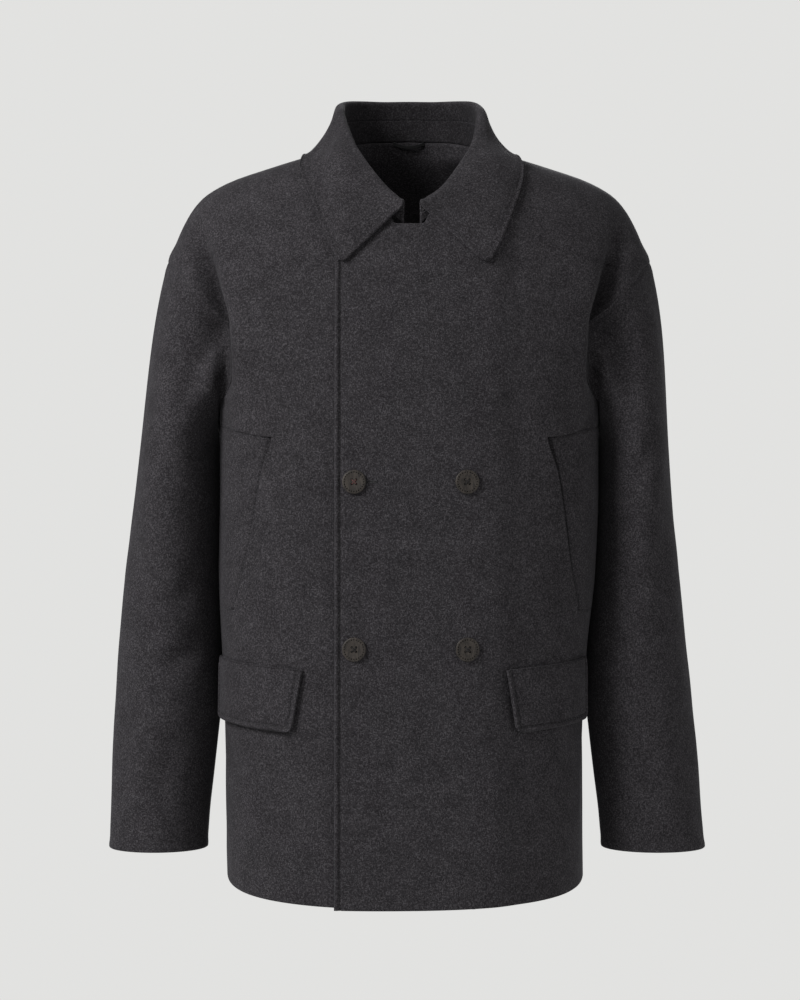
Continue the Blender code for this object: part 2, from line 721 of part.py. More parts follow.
def button_mesh(horn):
    """A turned disc with a raised rim and four thread holes, facing +Z."""
    mesh = bmesh.new()
    rings = []
    for radius, height in BUTTON_OUTLINE:
        if radius == 0:
            rings.append([mesh.verts.new((0, 0, height))])
            continue
        ring = []
        for k in range(BUTTON_SIDES):
            turn = 2 * math.pi * k / BUTTON_SIDES
            ring.append(mesh.verts.new((radius * math.cos(turn), radius * math.sin(turn), height)))
        rings.append(ring)
    for low, high in zip(rings, rings[1:]):
        for k in range(BUTTON_SIDES):
            m = (k + 1) % BUTTON_SIDES
            corners = [low[k % len(low)], low[m % len(low)], high[m % len(high)], high[k % len(high)]]
            mesh.faces.new(list(dict.fromkeys(corners)))
    disc = finished("button_disc", mesh, horn)
    cutter_mesh = bmesh.new()
    for k in range(4):
        turn = math.pi / 4 + k * math.pi / 2
        place = Matrix.Translation((HOLE_PITCH * math.cos(turn), HOLE_PITCH * math.sin(turn),
                                    BUTTON_THICK / 2))
        bmesh.ops.create_cone(cutter_mesh, cap_ends=True, segments=8, radius1=HOLE_RADIUS,
                              radius2=HOLE_RADIUS, depth=HOLE_DEPTH, matrix=place)
    cutter = finished("button_holes", cutter_mesh, horn)
    cutter.hide_render = True
    cutter.display_type = "WIRE"
    cut = disc.modifiers.new("holes", "BOOLEAN")
    cut.operation = "DIFFERENCE"
    cut.object = cutter
    graph = bpy.context.evaluated_depsgraph_get()
    data = bpy.data.meshes.new_from_object(disc.evaluated_get(graph))
    bpy.data.objects.remove(disc)
    bpy.data.objects.remove(cutter)
    return data


def build_buttons(horn):
    data = button_mesh(horn)
    number = 0
    for z in BUTTON_Z:
        for x in BUTTON_X:
            number += 1
            angle = angle_at(x, z)
            normal = body_normal(angle, z)
            button = bpy.data.objects.new(f"button_{number}", data)
            seat = LAP_OFFSET if x < LAP_RAMP[0] else 0.0
            button.location = body_point(angle, z, seat)
            button.rotation_mode = "QUATERNION"
            button.rotation_quaternion = normal.to_track_quat("Z", "Y")
            bpy.context.scene.collection.objects.link(button)


def build_hanger_loop(tape):
    """A narrow tape under the back neck seam, held at both ends and slack between."""
    outer, inner = [], []
    for edge in (0, 1):
        outer_line, inner_line = [], []
        for k in range(LOOP_STEPS + 1):
            share = 2 * k / LOOP_STEPS - 1
            x = share * LOOP_HALF_LENGTH
            slack = 1 - share * share
            z = NECK_BACK_Z - LOOP_DROP - LOOP_SAG * slack - LOOP_HEIGHT * edge
            angle = angle_at(x, z, False)
            behind = -(CLOTH + SEAM + LOOP_SLACK * slack)
            outer_line.append(body_point(angle, z, behind))
            inner_line.append(body_point(angle, z, behind - LOOP_THICK))
        outer.append(outer_line)
        inner.append(inner_line)
    wall("hanger_loop", outer, inner, all_cells(2, LOOP_STEPS + 1), tape)


def main():
    for old in list(bpy.data.objects):
        bpy.data.objects.remove(old)
    cloth = material("wool_cloth", (0.035, 0.034, 0.037), 0.95)
    horn = material("horn", (0.085, 0.068, 0.055), 0.55)
    tape = material("hanger_tape", (0.02, 0.02, 0.022), 0.8)
    over = build_front("front_left", 1, FREE_EDGE_X, True, cloth)
    under = build_front("front_right", -1, UNDER_EDGE_X, False, cloth)
    build_pocket("hand_pocket_left", 1, over, cloth)
    build_pocket("hand_pocket_right", -1, under, cloth)
    build_back("back_left", 1, cloth)
    build_back("back_right", -1, cloth)
    build_sleeve("sleeve_left", 1, cloth)
    build_sleeve("sleeve_right", -1, cloth)
    build_collar(cloth)
    build_flap("pocket_flap_left", 1, cloth)
    build_flap("pocket_flap_right", -1, cloth)
    build_buttons(horn)
    build_hanger_loop(tape)


main()
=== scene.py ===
"""A short double-breasted pea coat in heathered wool, filled out with no wearer.

Metres, +Z up. +X is the wearer's left and -Y the front. The origin lies in the middle
of the neck, level with the high points of the shoulders. Every cloth piece is a closed
shell with rolled edges, laid on the same body, sleeve and collar surfaces as its solid.
"""
import math

import bmesh
import bpy
import numpy as np
from mathutils import Matrix, Vector


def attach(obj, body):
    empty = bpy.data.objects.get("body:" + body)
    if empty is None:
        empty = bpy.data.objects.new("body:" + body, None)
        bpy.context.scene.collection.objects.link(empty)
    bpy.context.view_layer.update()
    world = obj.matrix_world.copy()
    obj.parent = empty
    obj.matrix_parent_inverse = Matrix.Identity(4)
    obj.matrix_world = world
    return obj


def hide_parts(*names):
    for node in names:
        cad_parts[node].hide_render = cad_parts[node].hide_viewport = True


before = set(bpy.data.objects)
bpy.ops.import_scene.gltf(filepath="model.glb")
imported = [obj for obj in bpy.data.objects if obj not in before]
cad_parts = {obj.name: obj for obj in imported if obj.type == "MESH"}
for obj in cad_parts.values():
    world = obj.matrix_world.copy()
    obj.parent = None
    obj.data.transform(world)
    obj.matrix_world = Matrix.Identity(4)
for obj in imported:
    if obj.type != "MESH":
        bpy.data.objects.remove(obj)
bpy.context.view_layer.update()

bl_info = {
    "name": "Pea coat",
    "version": (1, 0, 0),
    "blender": (4, 5, 0),
    "location": "3D View > Sidebar > Coat",
    "description": "Dresses the solids of a pea coat in wool, horn and thread",
    "category": "Object",
}

# Cloth
CLOTH = 0.0028
FLAP_CLOTH = 0.0034
SEAM_OVERLAP = 0.0002         # how far sewn edges press into each other
LAP_OFFSET = CLOTH + 0.0015   # how far the upper front stands off the lower one
FREE_EDGE_X = -0.0748         # free edge of the upper front
UNDER_EDGE_X = 0.066          # free edge of the lower front, hidden under the lap
LAP_RAMP = (0.082, 0.114)     # where the upper front comes back to the body line
HEM_FRONT_Z = -0.768
HEM_SIDE_Z = -0.746
HEM_BACK_Z = -0.762
HEM_ROUNDING = 3.0            # power that keeps the hem level before it rises to the side
UNDERARM_Z = -0.270
TIP_Z = -0.106                # where the shoulder seam meets the sleeve
NECK_POINT_Z = 0.0115         # where the shoulder seam meets the collar
NECK_FRONT_Z = -0.0820
NECK_BACK_Z = 0.031
NECK_BAND = 0.045             # height under the neck seam over which rows bend to it
UPPER_BEND = (-0.290, 1.5)    # where rows start to bend up to the neck, and how late
LOWER_BEND_Z = -0.600         # where rows start to bend down to the hem
POCKET_TOP_Z = -0.297
POCKET_BOTTOM_Z = -0.4725
POCKET_LAP = 0.008            # how far the pocket piece runs under the front
POCKET_TOP_RISE = (0.020, 0.040)   # rise of the pocket's top past its mouth, and its reach
POCKET_SHADE = {1: 1.0, -1: 0.45}  # how dark the painted shadow in the gap under each mouth is
MOUTH_REACH = 0.10            # height over which columns lean back from the mouth
MOUTH_FADE = 0.004            # above and below each end of the mouth, where its edge fades
UNDER_HEM_RISE = 0.001        # how much higher the lower front ends at its free edge
BUTTON_X = (-0.0547, 0.0570)
BUTTON_Z = (-0.3425, -0.5090)
FLAP_INNER_X = (0.1004, 0.010)     # at the flap's seam, and how far it leans out below
FLAP_TOP_Z = (-0.530, 0.009)       # at the flap's inner end, and how far it rises outwards
FLAP_DROP = 0.064
FLAP_LIFT = (0.0008, 0.0013)       # off the front at the seam, and more at the lower edge
FLAP_FLARE = 0.0026
FLAP_CORNERS = (0.009, 0.012)
FLAP_END_DEGREES = {1: 71, -1: 75}
BODY_FOLD_RADIUS, SLEEVE_FOLD_RADIUS = 0.19, 0.062   # turn a fold's degrees into a length

# Rings round the body: z, half width, depth in front, depth behind, roundness, shift
BODY_RINGS = (
    (-0.780, 0.1865, 0.156, 0.150, 2.8, -0.0035),
    (-0.700, 0.1872, 0.153, 0.147, 2.8, -0.005),
    (-0.600, 0.1878, 0.150, 0.141, 2.8, -0.0055),
    (-0.520, 0.1915, 0.149, 0.136, 2.8, -0.005),
    (-0.430, 0.1980, 0.147, 0.132, 2.8, -0.002),
    (-0.350, 0.1990, 0.146, 0.131, 2.8, 0.000),
    (-0.270, 0.1990, 0.142, 0.133, 2.8, 0.000),
    (-0.240, 0.2140, 0.140, 0.134, 2.6, 0.000),
    (-0.210, 0.2320, 0.138, 0.134, 2.45, 0.000),
    (-0.170, 0.2500, 0.133, 0.132, 2.3, 0.000),
    (-0.140, 0.2580, 0.127, 0.129, 2.2, 0.000),
    (-0.106, 0.2540, 0.119, 0.125, 2.15, 0.000),
    (-0.090, 0.2465, 0.115, 0.122, 2.1, 0.000),
    (-0.074, 0.2396, 0.110, 0.118, 2.1, 0.000),
    (-0.058, 0.2310, 0.104, 0.114, 2.05, 0.000),
    (-0.042, 0.2180, 0.097, 0.109, 2.0, 0.000),
    (-0.0265, 0.1930, 0.090, 0.104, 2.0, 0.000),
    (-0.0106, 0.1470, 0.083, 0.096, 2.0, 0.000),
    (0.0000, 0.1120, 0.080, 0.090, 2.0, 0.000),
    (0.0115, 0.0800, 0.078, 0.084, 2.0, 0.000),
    (0.0320, 0.0740, 0.074, 0.0765, 2.0, 0.000),
)

# Heights of a panel's rows at the side: hem to underarm, armhole, shoulder
SIDE_ROWS = (HEM_SIDE_Z, -0.710, -0.670, -0.630, -0.592, -0.552, -0.512, POCKET_BOTTOM_Z,
             -0.438, -0.402, -0.366, -0.330, POCKET_TOP_Z)
ARM_ROWS = (UNDERARM_Z, -0.254, -0.234, -0.213, -0.191, -0.170, -0.150, -0.132,
            -0.117, TIP_Z)
SHOULDER_ROWS = (-0.090, -0.074, -0.058, -0.042, -0.0265, -0.0106, 0.0000, NECK_POINT_Z)
ROWS = np.array(SIDE_ROWS + ARM_ROWS + SHOULDER_ROWS)
POCKET_ROW_LOW = SIDE_ROWS.index(POCKET_BOTTOM_Z)
POCKET_ROW_HIGH = SIDE_ROWS.index(POCKET_TOP_Z)
ARM_ROW_LOW = len(SIDE_ROWS)
ARM_ROW_HIGH = ARM_ROW_LOW + len(ARM_ROWS) - 1
COLUMNS = np.array((0, .12, .24, .36, .48, .535, .59, .69, .78, .86, .92, .965, 1))
POCKET_COLUMN = 7

# Armhole seam: z, x in front, x behind
ARMHOLE = (
    (-0.117, 0.2470, 0.2480), (-0.132, 0.2360, 0.2390), (-0.150, 0.2210, 0.2260),
    (-0.170, 0.2060, 0.2120), (-0.191, 0.1930, 0.2000), (-0.213, 0.1890, 0.1930),
    (-0.234, 0.1895, 0.1915), (-0.254, 0.1945, 0.1950),
)
# Mouth of the hand pocket: z, x
POCKET_MOUTH = ((-0.297, 0.1395), (-0.333, 0.1500), (-0.386, 0.1590), (-0.434, 0.1675),
                (-0.4725, 0.1755))
# Neck seam: degrees from the front, z
NECK_SEAM = (
    (0, NECK_FRONT_Z), (7, NECK_FRONT_Z), (9.5, -0.0745), (12, -0.0675), (16, -0.0595),
    (25, -0.0395), (34, -0.0227), (42, -0.0090), (56, 0.0040), (72, 0.0092),
    (90, NECK_POINT_Z), (120, 0.0205), (150, 0.0285), (180, NECK_BACK_Z),
)
# Valley between chest and arm: z, x, depth
ARM_FOLD = (
    (-0.060, 0.222, 0.000), (-0.0787, 0.2190, 0.0040), (-0.1044, 0.2140, 0.0135),
    (-0.1424, 0.2065, 0.0230), (-0.1756, 0.1985, 0.0250), (-0.215, 0.1950, 0.0200),
    (-0.268, 0.1925, 0.0000),
)
ARM_FOLD_BEHIND = 0.30        # the valley's depth behind, as a share of that in front
ARM_FOLD_WIDTH = 0.0100
ARM_FOLD_TURN = (-0.02, 0.04) # how far in front of the side the full depth sets in
VALLEY_SHADE = {1: 1.0, -1: 0.55}  # how dark the painted shade on each valley's floor is
VALLEY_DEEP = 0.022           # depth at which it is that dark

# Sleeve rings: z, outer x, inner x, front y, back y, shift
SLEEVE_RINGS = (
    (-0.310, 0.2800, 0.2002, -0.082, 0.097, -0.005),
    (-0.350, 0.2835, 0.1993, -0.080, 0.092, -0.006),
    (-0.400, 0.2885, 0.1987, -0.077, 0.085, -0.007),
    (-0.450, 0.2935, 0.1967, -0.075, 0.077, -0.007),
    (-0.500, 0.2980, 0.1930, -0.073, 0.069, -0.007),
    (-0.550, 0.3022, 0.1904, -0.073, 0.061, -0.006),
    (-0.600, 0.3055, 0.1950, -0.072, 0.053, -0.005),
    (-0.645, 0.3085, 0.1998, -0.070, 0.045, -0.004),
    (-0.690, 0.3107, 0.2048, -0.068, 0.037, -0.003),
    (-0.7245, 0.3130, 0.2070, -0.066, 0.031, -0.002),
)
SLEEVE_SEAM = -0.0004         # gap at the armhole: below zero, so that its edges press in
SLEEVE_LEAVES = (0.28, -0.96) # outward and upward direction of the sleeve at its tip
SLEEVE_SLACK = 0.75           # how much less the sleeve bows out under the arm
SLEEVE_LOOK = 0.04            # height over which the first ring's direction is taken
FOLD_FADES = (0.030, 0.012)   # where folds die out, from the armhole and from the cuff
ARM_VALLEYS = ((0.0110, 120, 38), (0.0045, 254, 28))   # depth, degrees, spread of degrees
ARM_VALLEY = (0.016, 0.013)   # from the armhole seam to the valley's floor, width
ARM_VALLEY_START = 0.010      # from the seam, over which it sets in
ARM_SHADE = ((122, 44), (0.006, 0.013))   # painted shade on its floor, in degrees and from the seam
SLEEVE_BLEND_STEPS = 34       # rows between the armhole and the first ring
SLEEVE_LOWER_ROWS = 105

# Collar: degrees round the neck, roll x y z, edge x z, edge in front or behind
COLLAR = (
    (180, 0.0000, 0.0800, 0.0746, 0.000, 0.004, 0),
    (165, 0.0230, 0.0770, 0.0738, 0.030, 0.0045, 0),
    (148, 0.0450, 0.0660, 0.0725, 0.060, 0.005, 0),
    (128, 0.0625, 0.0450, 0.0688, 0.083, 0.004, 0),
    (108, 0.0710, 0.0190, 0.0615, 0.100, 0.001, 0),
    (86, 0.0720, -0.0080, 0.0510, 0.1115, -0.0055, 1),
    (75, 0.0705, -0.0210, 0.0420, 0.1150, -0.0180, 1),
    (64, 0.0685, -0.0340, 0.0320, 0.1130, -0.0310, 1),
    (52, 0.0650, -0.0480, 0.0195, 0.1085, -0.0450, 1),
    (41, 0.0605, -0.0610, 0.0070, 0.1040, -0.0570, 1),
    (33, 0.0530, -0.0725, -0.0065, 0.1000, -0.0680, 1),
    (25, 0.0440, -0.0840, -0.0210, 0.0950, -0.0810, 1),
    (13.5, 0.0262, -0.1010, -0.0450, 0.0860, -0.1030, 1),
    (4.2, 0.0082, -0.1130, -0.0600, 0.0735, -0.1265, 1),
)
STAND_SHARE = 0.58            # how far up to the roll the stand's own piece reaches
ROLL_WIDTH = 0.0072           # across the roll, from inside the stand to outside the leaf
ROLL_DROP = 0.0045            # from the roll down to where both its sides are straight
ROLL_RISE = 0.0016            # how much fuller the cloth makes the roll
ROLL_EASE = 0.0008            # room between the stand and the leaf behind it
STAND_LIFT = 0.0002           # off the neck seam
LEAF_LIFT = 0.0026            # leaf's middle above the cloth under it
LEAF_SHARES = (0.2, 0.42, 0.62, 0.82, 1.0)   # lines of the leaf from the roll to its edge
STAND_SHIFT = 0.0030          # the collar's opening sits this much to the wearer's left
LEAF_SHIFT = 0.0052           # and the leaf over it this much
LEAF_SAG = 0.0045             # how far the leaf hollows between roll and shoulder


# Curves and the body's surface

def slopes(knots, values):
    """Slopes at the knots that never make the curve overshoot, along the first axis."""
    step = np.diff(values, axis=0) / np.diff(knots).reshape(-1, *[1] * (values.ndim - 1))
    both = step[:-1] * step[1:]
    total = step[:-1] + step[1:]
    middle = np.where(both > 0, 2 * both / np.where(total == 0, 1, total), 0.0)
    return np.concatenate([step[:1], middle, step[-1:]])


def refine(values, knots, wanted):
    """Values at the wanted places of a smooth curve through the knots, along the first axis."""
    values, knots = np.asarray(values, float), np.asarray(knots, float)
    wanted = np.clip(np.asarray(wanted, float), knots[0], knots[-1])
    slope = slopes(knots, values)
    i = np.clip(np.searchsorted(knots, wanted, side="right") - 1, 0, len(knots) - 2)
    extra = (1,) * (values.ndim - 1)
    span = (knots[i + 1] - knots[i]).reshape(wanted.shape + extra)
    t = (wanted - knots[i]).reshape(wanted.shape + extra) / span
    return (values[i] * (1 + 2 * t) * (1 - t) ** 2 + values[i + 1] * t * t * (3 - 2 * t)
            + span * t * (1 - t) * (slope[i] * (1 - t) - slope[i + 1] * t))


def curve(table, key, column):
    """A table's column at each key, smoothly."""
    rows = np.array(sorted(table), float)
    key = np.asarray(key, float)
    return refine(rows[:, column], rows[:, 0], key.ravel()).reshape(key.shape)


def spread(knots, steps):
    """Places between the knots: steps of them, or a list with one number per span."""
    counts = [steps] * (len(knots) - 1) if isinstance(steps, int) else steps
    places = [np.linspace(a, b, n, endpoint=False) for a, b, n in zip(knots, knots[1:], counts)]
    return np.concatenate(places + [[knots[-1]]])


def step(low, high, value):
    """A smooth rise from 0 at low to 1 at high."""
    t = np.clip((value - low) / (high - low), 0.0, 1.0)
    return t * t * (3 - 2 * t)


def unit(vectors):
    """Vectors made one long."""
    return vectors / np.maximum(np.linalg.norm(vectors, axis=-1, keepdims=True), 1e-12)


def body_base(angle, z):
    """Points of the body's surface; angle 0 is the front, a quarter turn the +X side."""
    angle, z = np.broadcast_arrays(np.asarray(angle, float), np.asarray(z, float))
    half_width, front, back, roundness, shift = (curve(BODY_RINGS, z, c) for c in range(1, 6))
    across, along = np.sin(angle), -np.cos(angle)
    depth = np.where(along < 0, front, back)
    reach = (abs(across) / half_width) ** roundness + (abs(along) / depth) ** roundness
    radius = reach ** (-1 / roundness)
    return np.stack([radius * across + shift, radius * along, z], -1)


def fold_depth(points):
    """Depth of the soft valley between the chest and the arm."""
    z = points[..., 2]
    away = (abs(points[..., 0]) - curve(ARM_FOLD, z, 1)) / ARM_FOLD_WIDTH
    inside = (z > ARM_FOLD[-1][0]) & (z < ARM_FOLD[0][0])
    share = ARM_FOLD_BEHIND + (1 - ARM_FOLD_BEHIND) * step(*ARM_FOLD_TURN, -points[..., 1])
    return np.where(inside, share * curve(ARM_FOLD, z, 2) * np.exp(-away * away), 0.0)


def body_normal(angle, z):
    """Outward unit normals of the body's surface."""
    turn, rise = 0.01, 0.002
    along = body_base(angle + turn, z) - body_base(angle - turn, z)
    up = body_base(angle, z + rise) - body_base(angle, z - rise)
    return unit(np.cross(along, up))


def body_point(angle, z, offset=0.0):
    """Points off the body's surface, sunk where the arm's valley runs."""
    points = body_base(angle, z)
    lift = np.asarray(offset) - fold_depth(points)
    return points + body_normal(angle, z) * lift[..., None]


def angle_at(x, z, in_front=True):
    """Angle at which the body's ring at height z has this x."""
    x, z = np.broadcast_arrays(np.asarray(x, float), np.asarray(z, float))
    side = np.where(x >= curve(BODY_RINGS, z, 5), 1.0, -1.0)
    low = np.full(x.shape, 0.0 if in_front else math.pi)
    high = np.full(x.shape, math.pi / 2)
    for _ in range(34):
        middle = (low + high) / 2
        short = (body_base(side * middle, z)[..., 0] - x) * side < 0
        low, high = np.where(short, middle, low), np.where(short, high, middle)
    return side * (low + high) / 2


# Fine rows and columns of a panel: steps in each span between two of its coarse ones
ROW_STEPS = [10] * 12 + [7] + [5] * 9 + [4] * 8
ROW_PLACES = spread(np.arange(len(ROWS)), ROW_STEPS)
EDGE_SPAN, MOUTH_SPAN, SIDE_SPAN = 0.048, 0.036, 0.030
HELD = COLUMNS[POCKET_COLUMN]
COLUMN_PLACES = spread([0, EDGE_SPAN, HELD - MOUTH_SPAN, HELD, HELD + MOUTH_SPAN,
                        1 - SIDE_SPAN, 1], [16, 50, 9, 9, 22, 6])

# Depth of the pocket's cloth under the front, from its hidden edge past the mouth to the side
POCKET_KNOTS = np.array((-0.12, *(COLUMNS[POCKET_COLUMN:] - HELD) / (1 - HELD)))
POCKET_MOUTH_COLUMN = 4
POCKET_FALL = np.array((CLOTH + 0.0022, CLOTH + 0.0010, 0.0014, 0.0004, 0, 0, 0))
POCKET_SHUT_KNOTS = (-0.12, 0, 0.02, 0.12)   # the same at the mouth's closed lower end
POCKET_SHUT_FALL = (*POCKET_FALL[:2], 0.002, 0.0)
POCKET_OPENS = (0.0, 0.16)    # share of the height over which the mouth comes to stand open
POCKET_CLOSES = (0.93, 1.0, 0.65)   # and over which, and how far, it closes at the top
POCKET_GAP = (0.0042, 0.0064)       # how far past the mouth the painted shadow of its gap reaches
POCKET_GAP_START, POCKET_TOP_LINE = 0.04, 0.022   # shares of the height where it fades

# Edges and seams: height, distance and width of each swell or groove
SEAM_ROLL = 0.0009            # how far a sewn edge turns in
FLUSH_ROLL = 0.0002           # the same where the seam doesn't show
POCKET_TOP_ROLL = 0.0006
RIM_STEPS = 5
STITCH_LINES = {}             # lines of edge stitching by the name of their piece
EDGE_STITCH_AT = 0.0060       # the line of edge stitching, from the edge
EDGE_STITCH_WIDTH = 0.0014
EDGE_SWELL = (0.0008, 0.0028, 0.0021)
EDGE_GROOVE, LAP_GROOVE, FLAP_GROOVE = 0.0006, 0.0015, 0.0011   # depth at the stitches
SEAM_PROFILE = ((-0.0007, 0, 0.0042), (0.0003, 0.008, 0.004))
ARMHOLE_PROFILE = ((-0.0009, 0, 0.005), (0.0004, 0.010, 0.005))
CUFF_PROFILE = ((0.0004, 0.003, 0.004), (-0.0002, 0.012, 0.006))
FLAP_SEAM_PROFILE = ((-0.0006, 0.006, 0.0014), (-0.0011, 0, 0.004))
MOUTH_PROFILE = ((0.0005, 0.002, 0.003),)
LEAF_WAVES = ((0.0007, 23, 1.1), (0.0005, 41, 4.0))   # height, turns round the neck, start


# Cloth shells

def normals_of(points, wrap=False):
    """Unit normals of a grid of points, from the differences between its neighbours."""
    if wrap:
        along = np.roll(points, -1, axis=1) - np.roll(points, 1, axis=1)
    else:
        along = np.gradient(points, axis=1)
    return unit(np.cross(along, np.gradient(points, axis=0)))


def outward_normals(points):
    """Unit normals that point away from the coat's middle."""
    normals = normals_of(points)
    return normals * math.copysign(1, (normals[..., :2] * points[..., :2]).sum())


def distance_along(points, axis):
    """Distance from the first row or column, along the surface."""
    length = np.linalg.norm(np.diff(points, axis=axis), axis=-1)
    total = np.cumsum(length, axis=axis)
    return np.insert(total, 0, 0.0, axis=axis)


def line_at(points, distance, wanted):
    """One point on each row of a grid, where the rising distance reaches the wanted one."""
    return np.array([[np.interp(wanted, along, row[:, k]) for k in range(3)]
                     for along, row in zip(distance, points)])


def bump(distance, middle, width):
    """A round swell that is 1 in its middle."""
    return np.exp(-(((distance - middle) / width) ** 2))


def profile(distance, rows):
    """Height across an edge or a seam, from its swells and grooves."""
    return sum(height * bump(distance, middle, width) for height, middle, width in rows)


def edge_relief(distance, groove=EDGE_GROOVE):
    """The full ridge of a turned edge and the shallow line where it is stitched down."""
    return profile(distance, (EDGE_SWELL, (-groove, EDGE_STITCH_AT, EDGE_STITCH_WIDTH)))


def edge_press_and_shade(distance):
    """How dark the cloth is along the stitching of an edge: pressed flat there, and with painted
    shade in its groove.
    """
    return bump(distance, EDGE_STITCH_AT, EDGE_STITCH_WIDTH)


def crease(degrees, z, radius, path, width, depth):
    """A soft fold along a path: a hollow with a fuller bank on both sides, fading out."""
    nearest = np.full(degrees.shape, np.inf)
    along = np.zeros(degrees.shape)
    spans = len(path) - 1
    for i, (start, end) in enumerate(zip(path, path[1:])):
        across = (degrees - start[0] + 180) % 360 - 180
        u, v = np.radians(across) * radius, z - start[1]
        du, dv = math.radians(end[0] - start[0]) * radius, end[1] - start[1]
        t = np.clip((u * du + v * dv) / (du * du + dv * dv), 0, 1)
        distance = np.hypot(u - t * du, v - t * dv)
        closer = distance < nearest
        nearest = np.where(closer, distance, nearest)
        along = np.where(closer, (i + t) / spans, along)
    fade = step(0, 0.4, along) * step(0, 0.4, 1 - along)
    bank = bump(nearest, 1.9 * width, 1.1 * width)
    return depth * fade * (0.4 * bank - bump(nearest, 0, width))


def creases(degrees, z, radius, folds):
    """All the folds of one piece: rows of path, width and depth."""
    return sum(crease(degrees, z, radius, *fold) for fold in folds)


def round_corner(points, row, column, radius):
    """Round off a grid's corner within a radius, moving points inside the surface only."""
    down = distance_along(points, 0)
    across = distance_along(points, 1)
    down = down if row == 0 else down[-1:] - down
    across = across if column == 0 else across[:, -1:] - across
    u = np.clip(1 - across / radius, 0, 1)
    v = np.clip(1 - down / radius, 0, 1)
    to_side = np.gradient(points, axis=1) * (-1 if column == 0 else 1)
    to_end = np.gradient(points, axis=0) * (-1 if row == 0 else 1)
    return (points + unit(to_side) * (radius * u * (np.sqrt(1 - v * v / 2) - 1))[..., None]
            + unit(to_end) * (radius * v * (np.sqrt(1 - u * u / 2) - 1))[..., None])


def put(name, data):
    """A new object in the scene."""
    made = bpy.data.objects.new(name, data)
    bpy.context.scene.collection.objects.link(made)
    return made


def grid_quads(points, normals, kept, wrap):
    """Corners of a grid's cells, all turned the way of the normals."""
    rows, columns = points.shape[:2]
    index = np.arange(rows * columns).reshape(rows, columns)
    right = np.roll(index, -1, axis=1) if wrap else index[:, 1:]
    left = index if wrap else index[:, :-1]
    cells = np.stack([left[:-1], right[:-1], right[1:], left[1:]], -1)
    quads = cells[kept] if kept is not None else cells.reshape(-1, 4)
    flat, out = points.reshape(-1, 3), normals.reshape(-1, 3)
    first = flat[quads[:, 1]] - flat[quads[:, 0]]
    second = flat[quads[:, 3]] - flat[quads[:, 0]]
    turned = (np.cross(first, second) * out[quads[:, 0]]).sum() < 0
    return quads[:, ::-1] if turned else quads


def open_edges(quads, count):
    """Starts and ends of the edges that only one cell has."""
    starts, ends = quads.ravel(), np.roll(quads, -1, axis=1).ravel()
    alone = ~np.isin(starts * count + ends, ends * count + starts)
    return starts[alone], ends[alone]


def shell(name, points, depth, roll, kept=None, wrap=False, normals=None, pressed=None):
    """A closed piece of cloth under a grid of points, its edges rolled over by roll."""
    if normals is None:
        normals = outward_normals(points)
    quads = grid_quads(points, normals, kept, wrap)
    flat, out = points.reshape(-1, 3), normals.reshape(-1, 3)
    count = len(flat)
    starts, ends = open_edges(quads, count)
    away = np.zeros_like(flat)
    outward = unit(np.cross(flat[ends] - flat[starts], out[starts] + out[ends]))
    np.add.at(away, starts, outward)
    np.add.at(away, ends, outward)
    rim = np.unique(starts)
    away = unit(away[rim])
    turn_in = np.broadcast_to(roll, points.shape[:2]).ravel()[rim][:, None]
    top = flat.copy()
    top[rim] -= away * turn_in
    under = top - out * depth
    middle = (top[rim] + under[rim]) / 2
    layers = [top, under]
    place = np.zeros(count, int)
    place[rim] = np.arange(len(rim))
    firsts = [2 * count + k * len(rim) for k in range(RIM_STEPS - 1)]
    for k in range(1, RIM_STEPS):
        turn = math.pi * k / RIM_STEPS
        layers.append(middle + away * turn_in * math.sin(turn)
                      + out[rim] * (depth / 2 * math.cos(turn)))
    rings = [starts, *[first + place[starts] for first in firsts], count + starts]
    nexts = [ends, *[first + place[ends] for first in firsts], count + ends]
    faces = [quads, count + quads[:, ::-1]]
    for k in range(RIM_STEPS):
        faces.append(np.stack([nexts[k], rings[k], rings[k + 1], nexts[k + 1]], -1))
    faces = np.concatenate(faces)
    used, renumbered = np.unique(faces, return_inverse=True)
    vertices = np.concatenate(layers)
    # darkening for the wool's colour: pressed stitching, and painted shade in valleys, gaps and
    # inside the neck
    dark = np.zeros(len(vertices))
    if pressed is not None:
        dark[:2 * count] = np.tile(np.clip(pressed, 0, 1).ravel(), 2)
    mesh = bpy.data.meshes.new(name)
    mesh.from_pydata(vertices[used].tolist(), [], renumbered.reshape(faces.shape).tolist())
    mesh.attributes.new("pressed", "FLOAT", "POINT").data.foreach_set("value", dark[used])
    mesh.shade_smooth()
    return put(name, mesh)


# Body panels

def panel_height(side_z, hem_z, top_z):
    """Height of a row away from the side: level in the middle, bent at hem and top."""
    start, lateness = UPPER_BEND
    upper = np.clip((side_z - start) / (NECK_POINT_Z - start), 0.0, 1.0) ** lateness
    lower = np.clip((LOWER_BEND_Z - side_z) / (LOWER_BEND_Z - HEM_SIDE_Z), 0.0, 1.0)
    return side_z + (top_z - NECK_POINT_Z) * upper + (hem_z - HEM_SIDE_Z) * lower


def side_angles(front):
    """Angle of a panel's outer edge at each row: side seam, armhole or shoulder seam."""
    angles = np.full(len(ROWS), math.pi / 2)
    arm = slice(ARM_ROW_LOW + 1, ARM_ROW_HIGH)
    z = ROWS[arm]
    angles[arm] = angle_at(curve(ARMHOLE, z, 1 if front else 2), z, front)
    return angles


def seam_trim(angle, z):
    """Angle by which a sewn edge passes its seam, as a negative trim."""
    return -SEAM_OVERLAP / np.linalg.norm(body_base(angle, z)[..., :2], axis=-1)


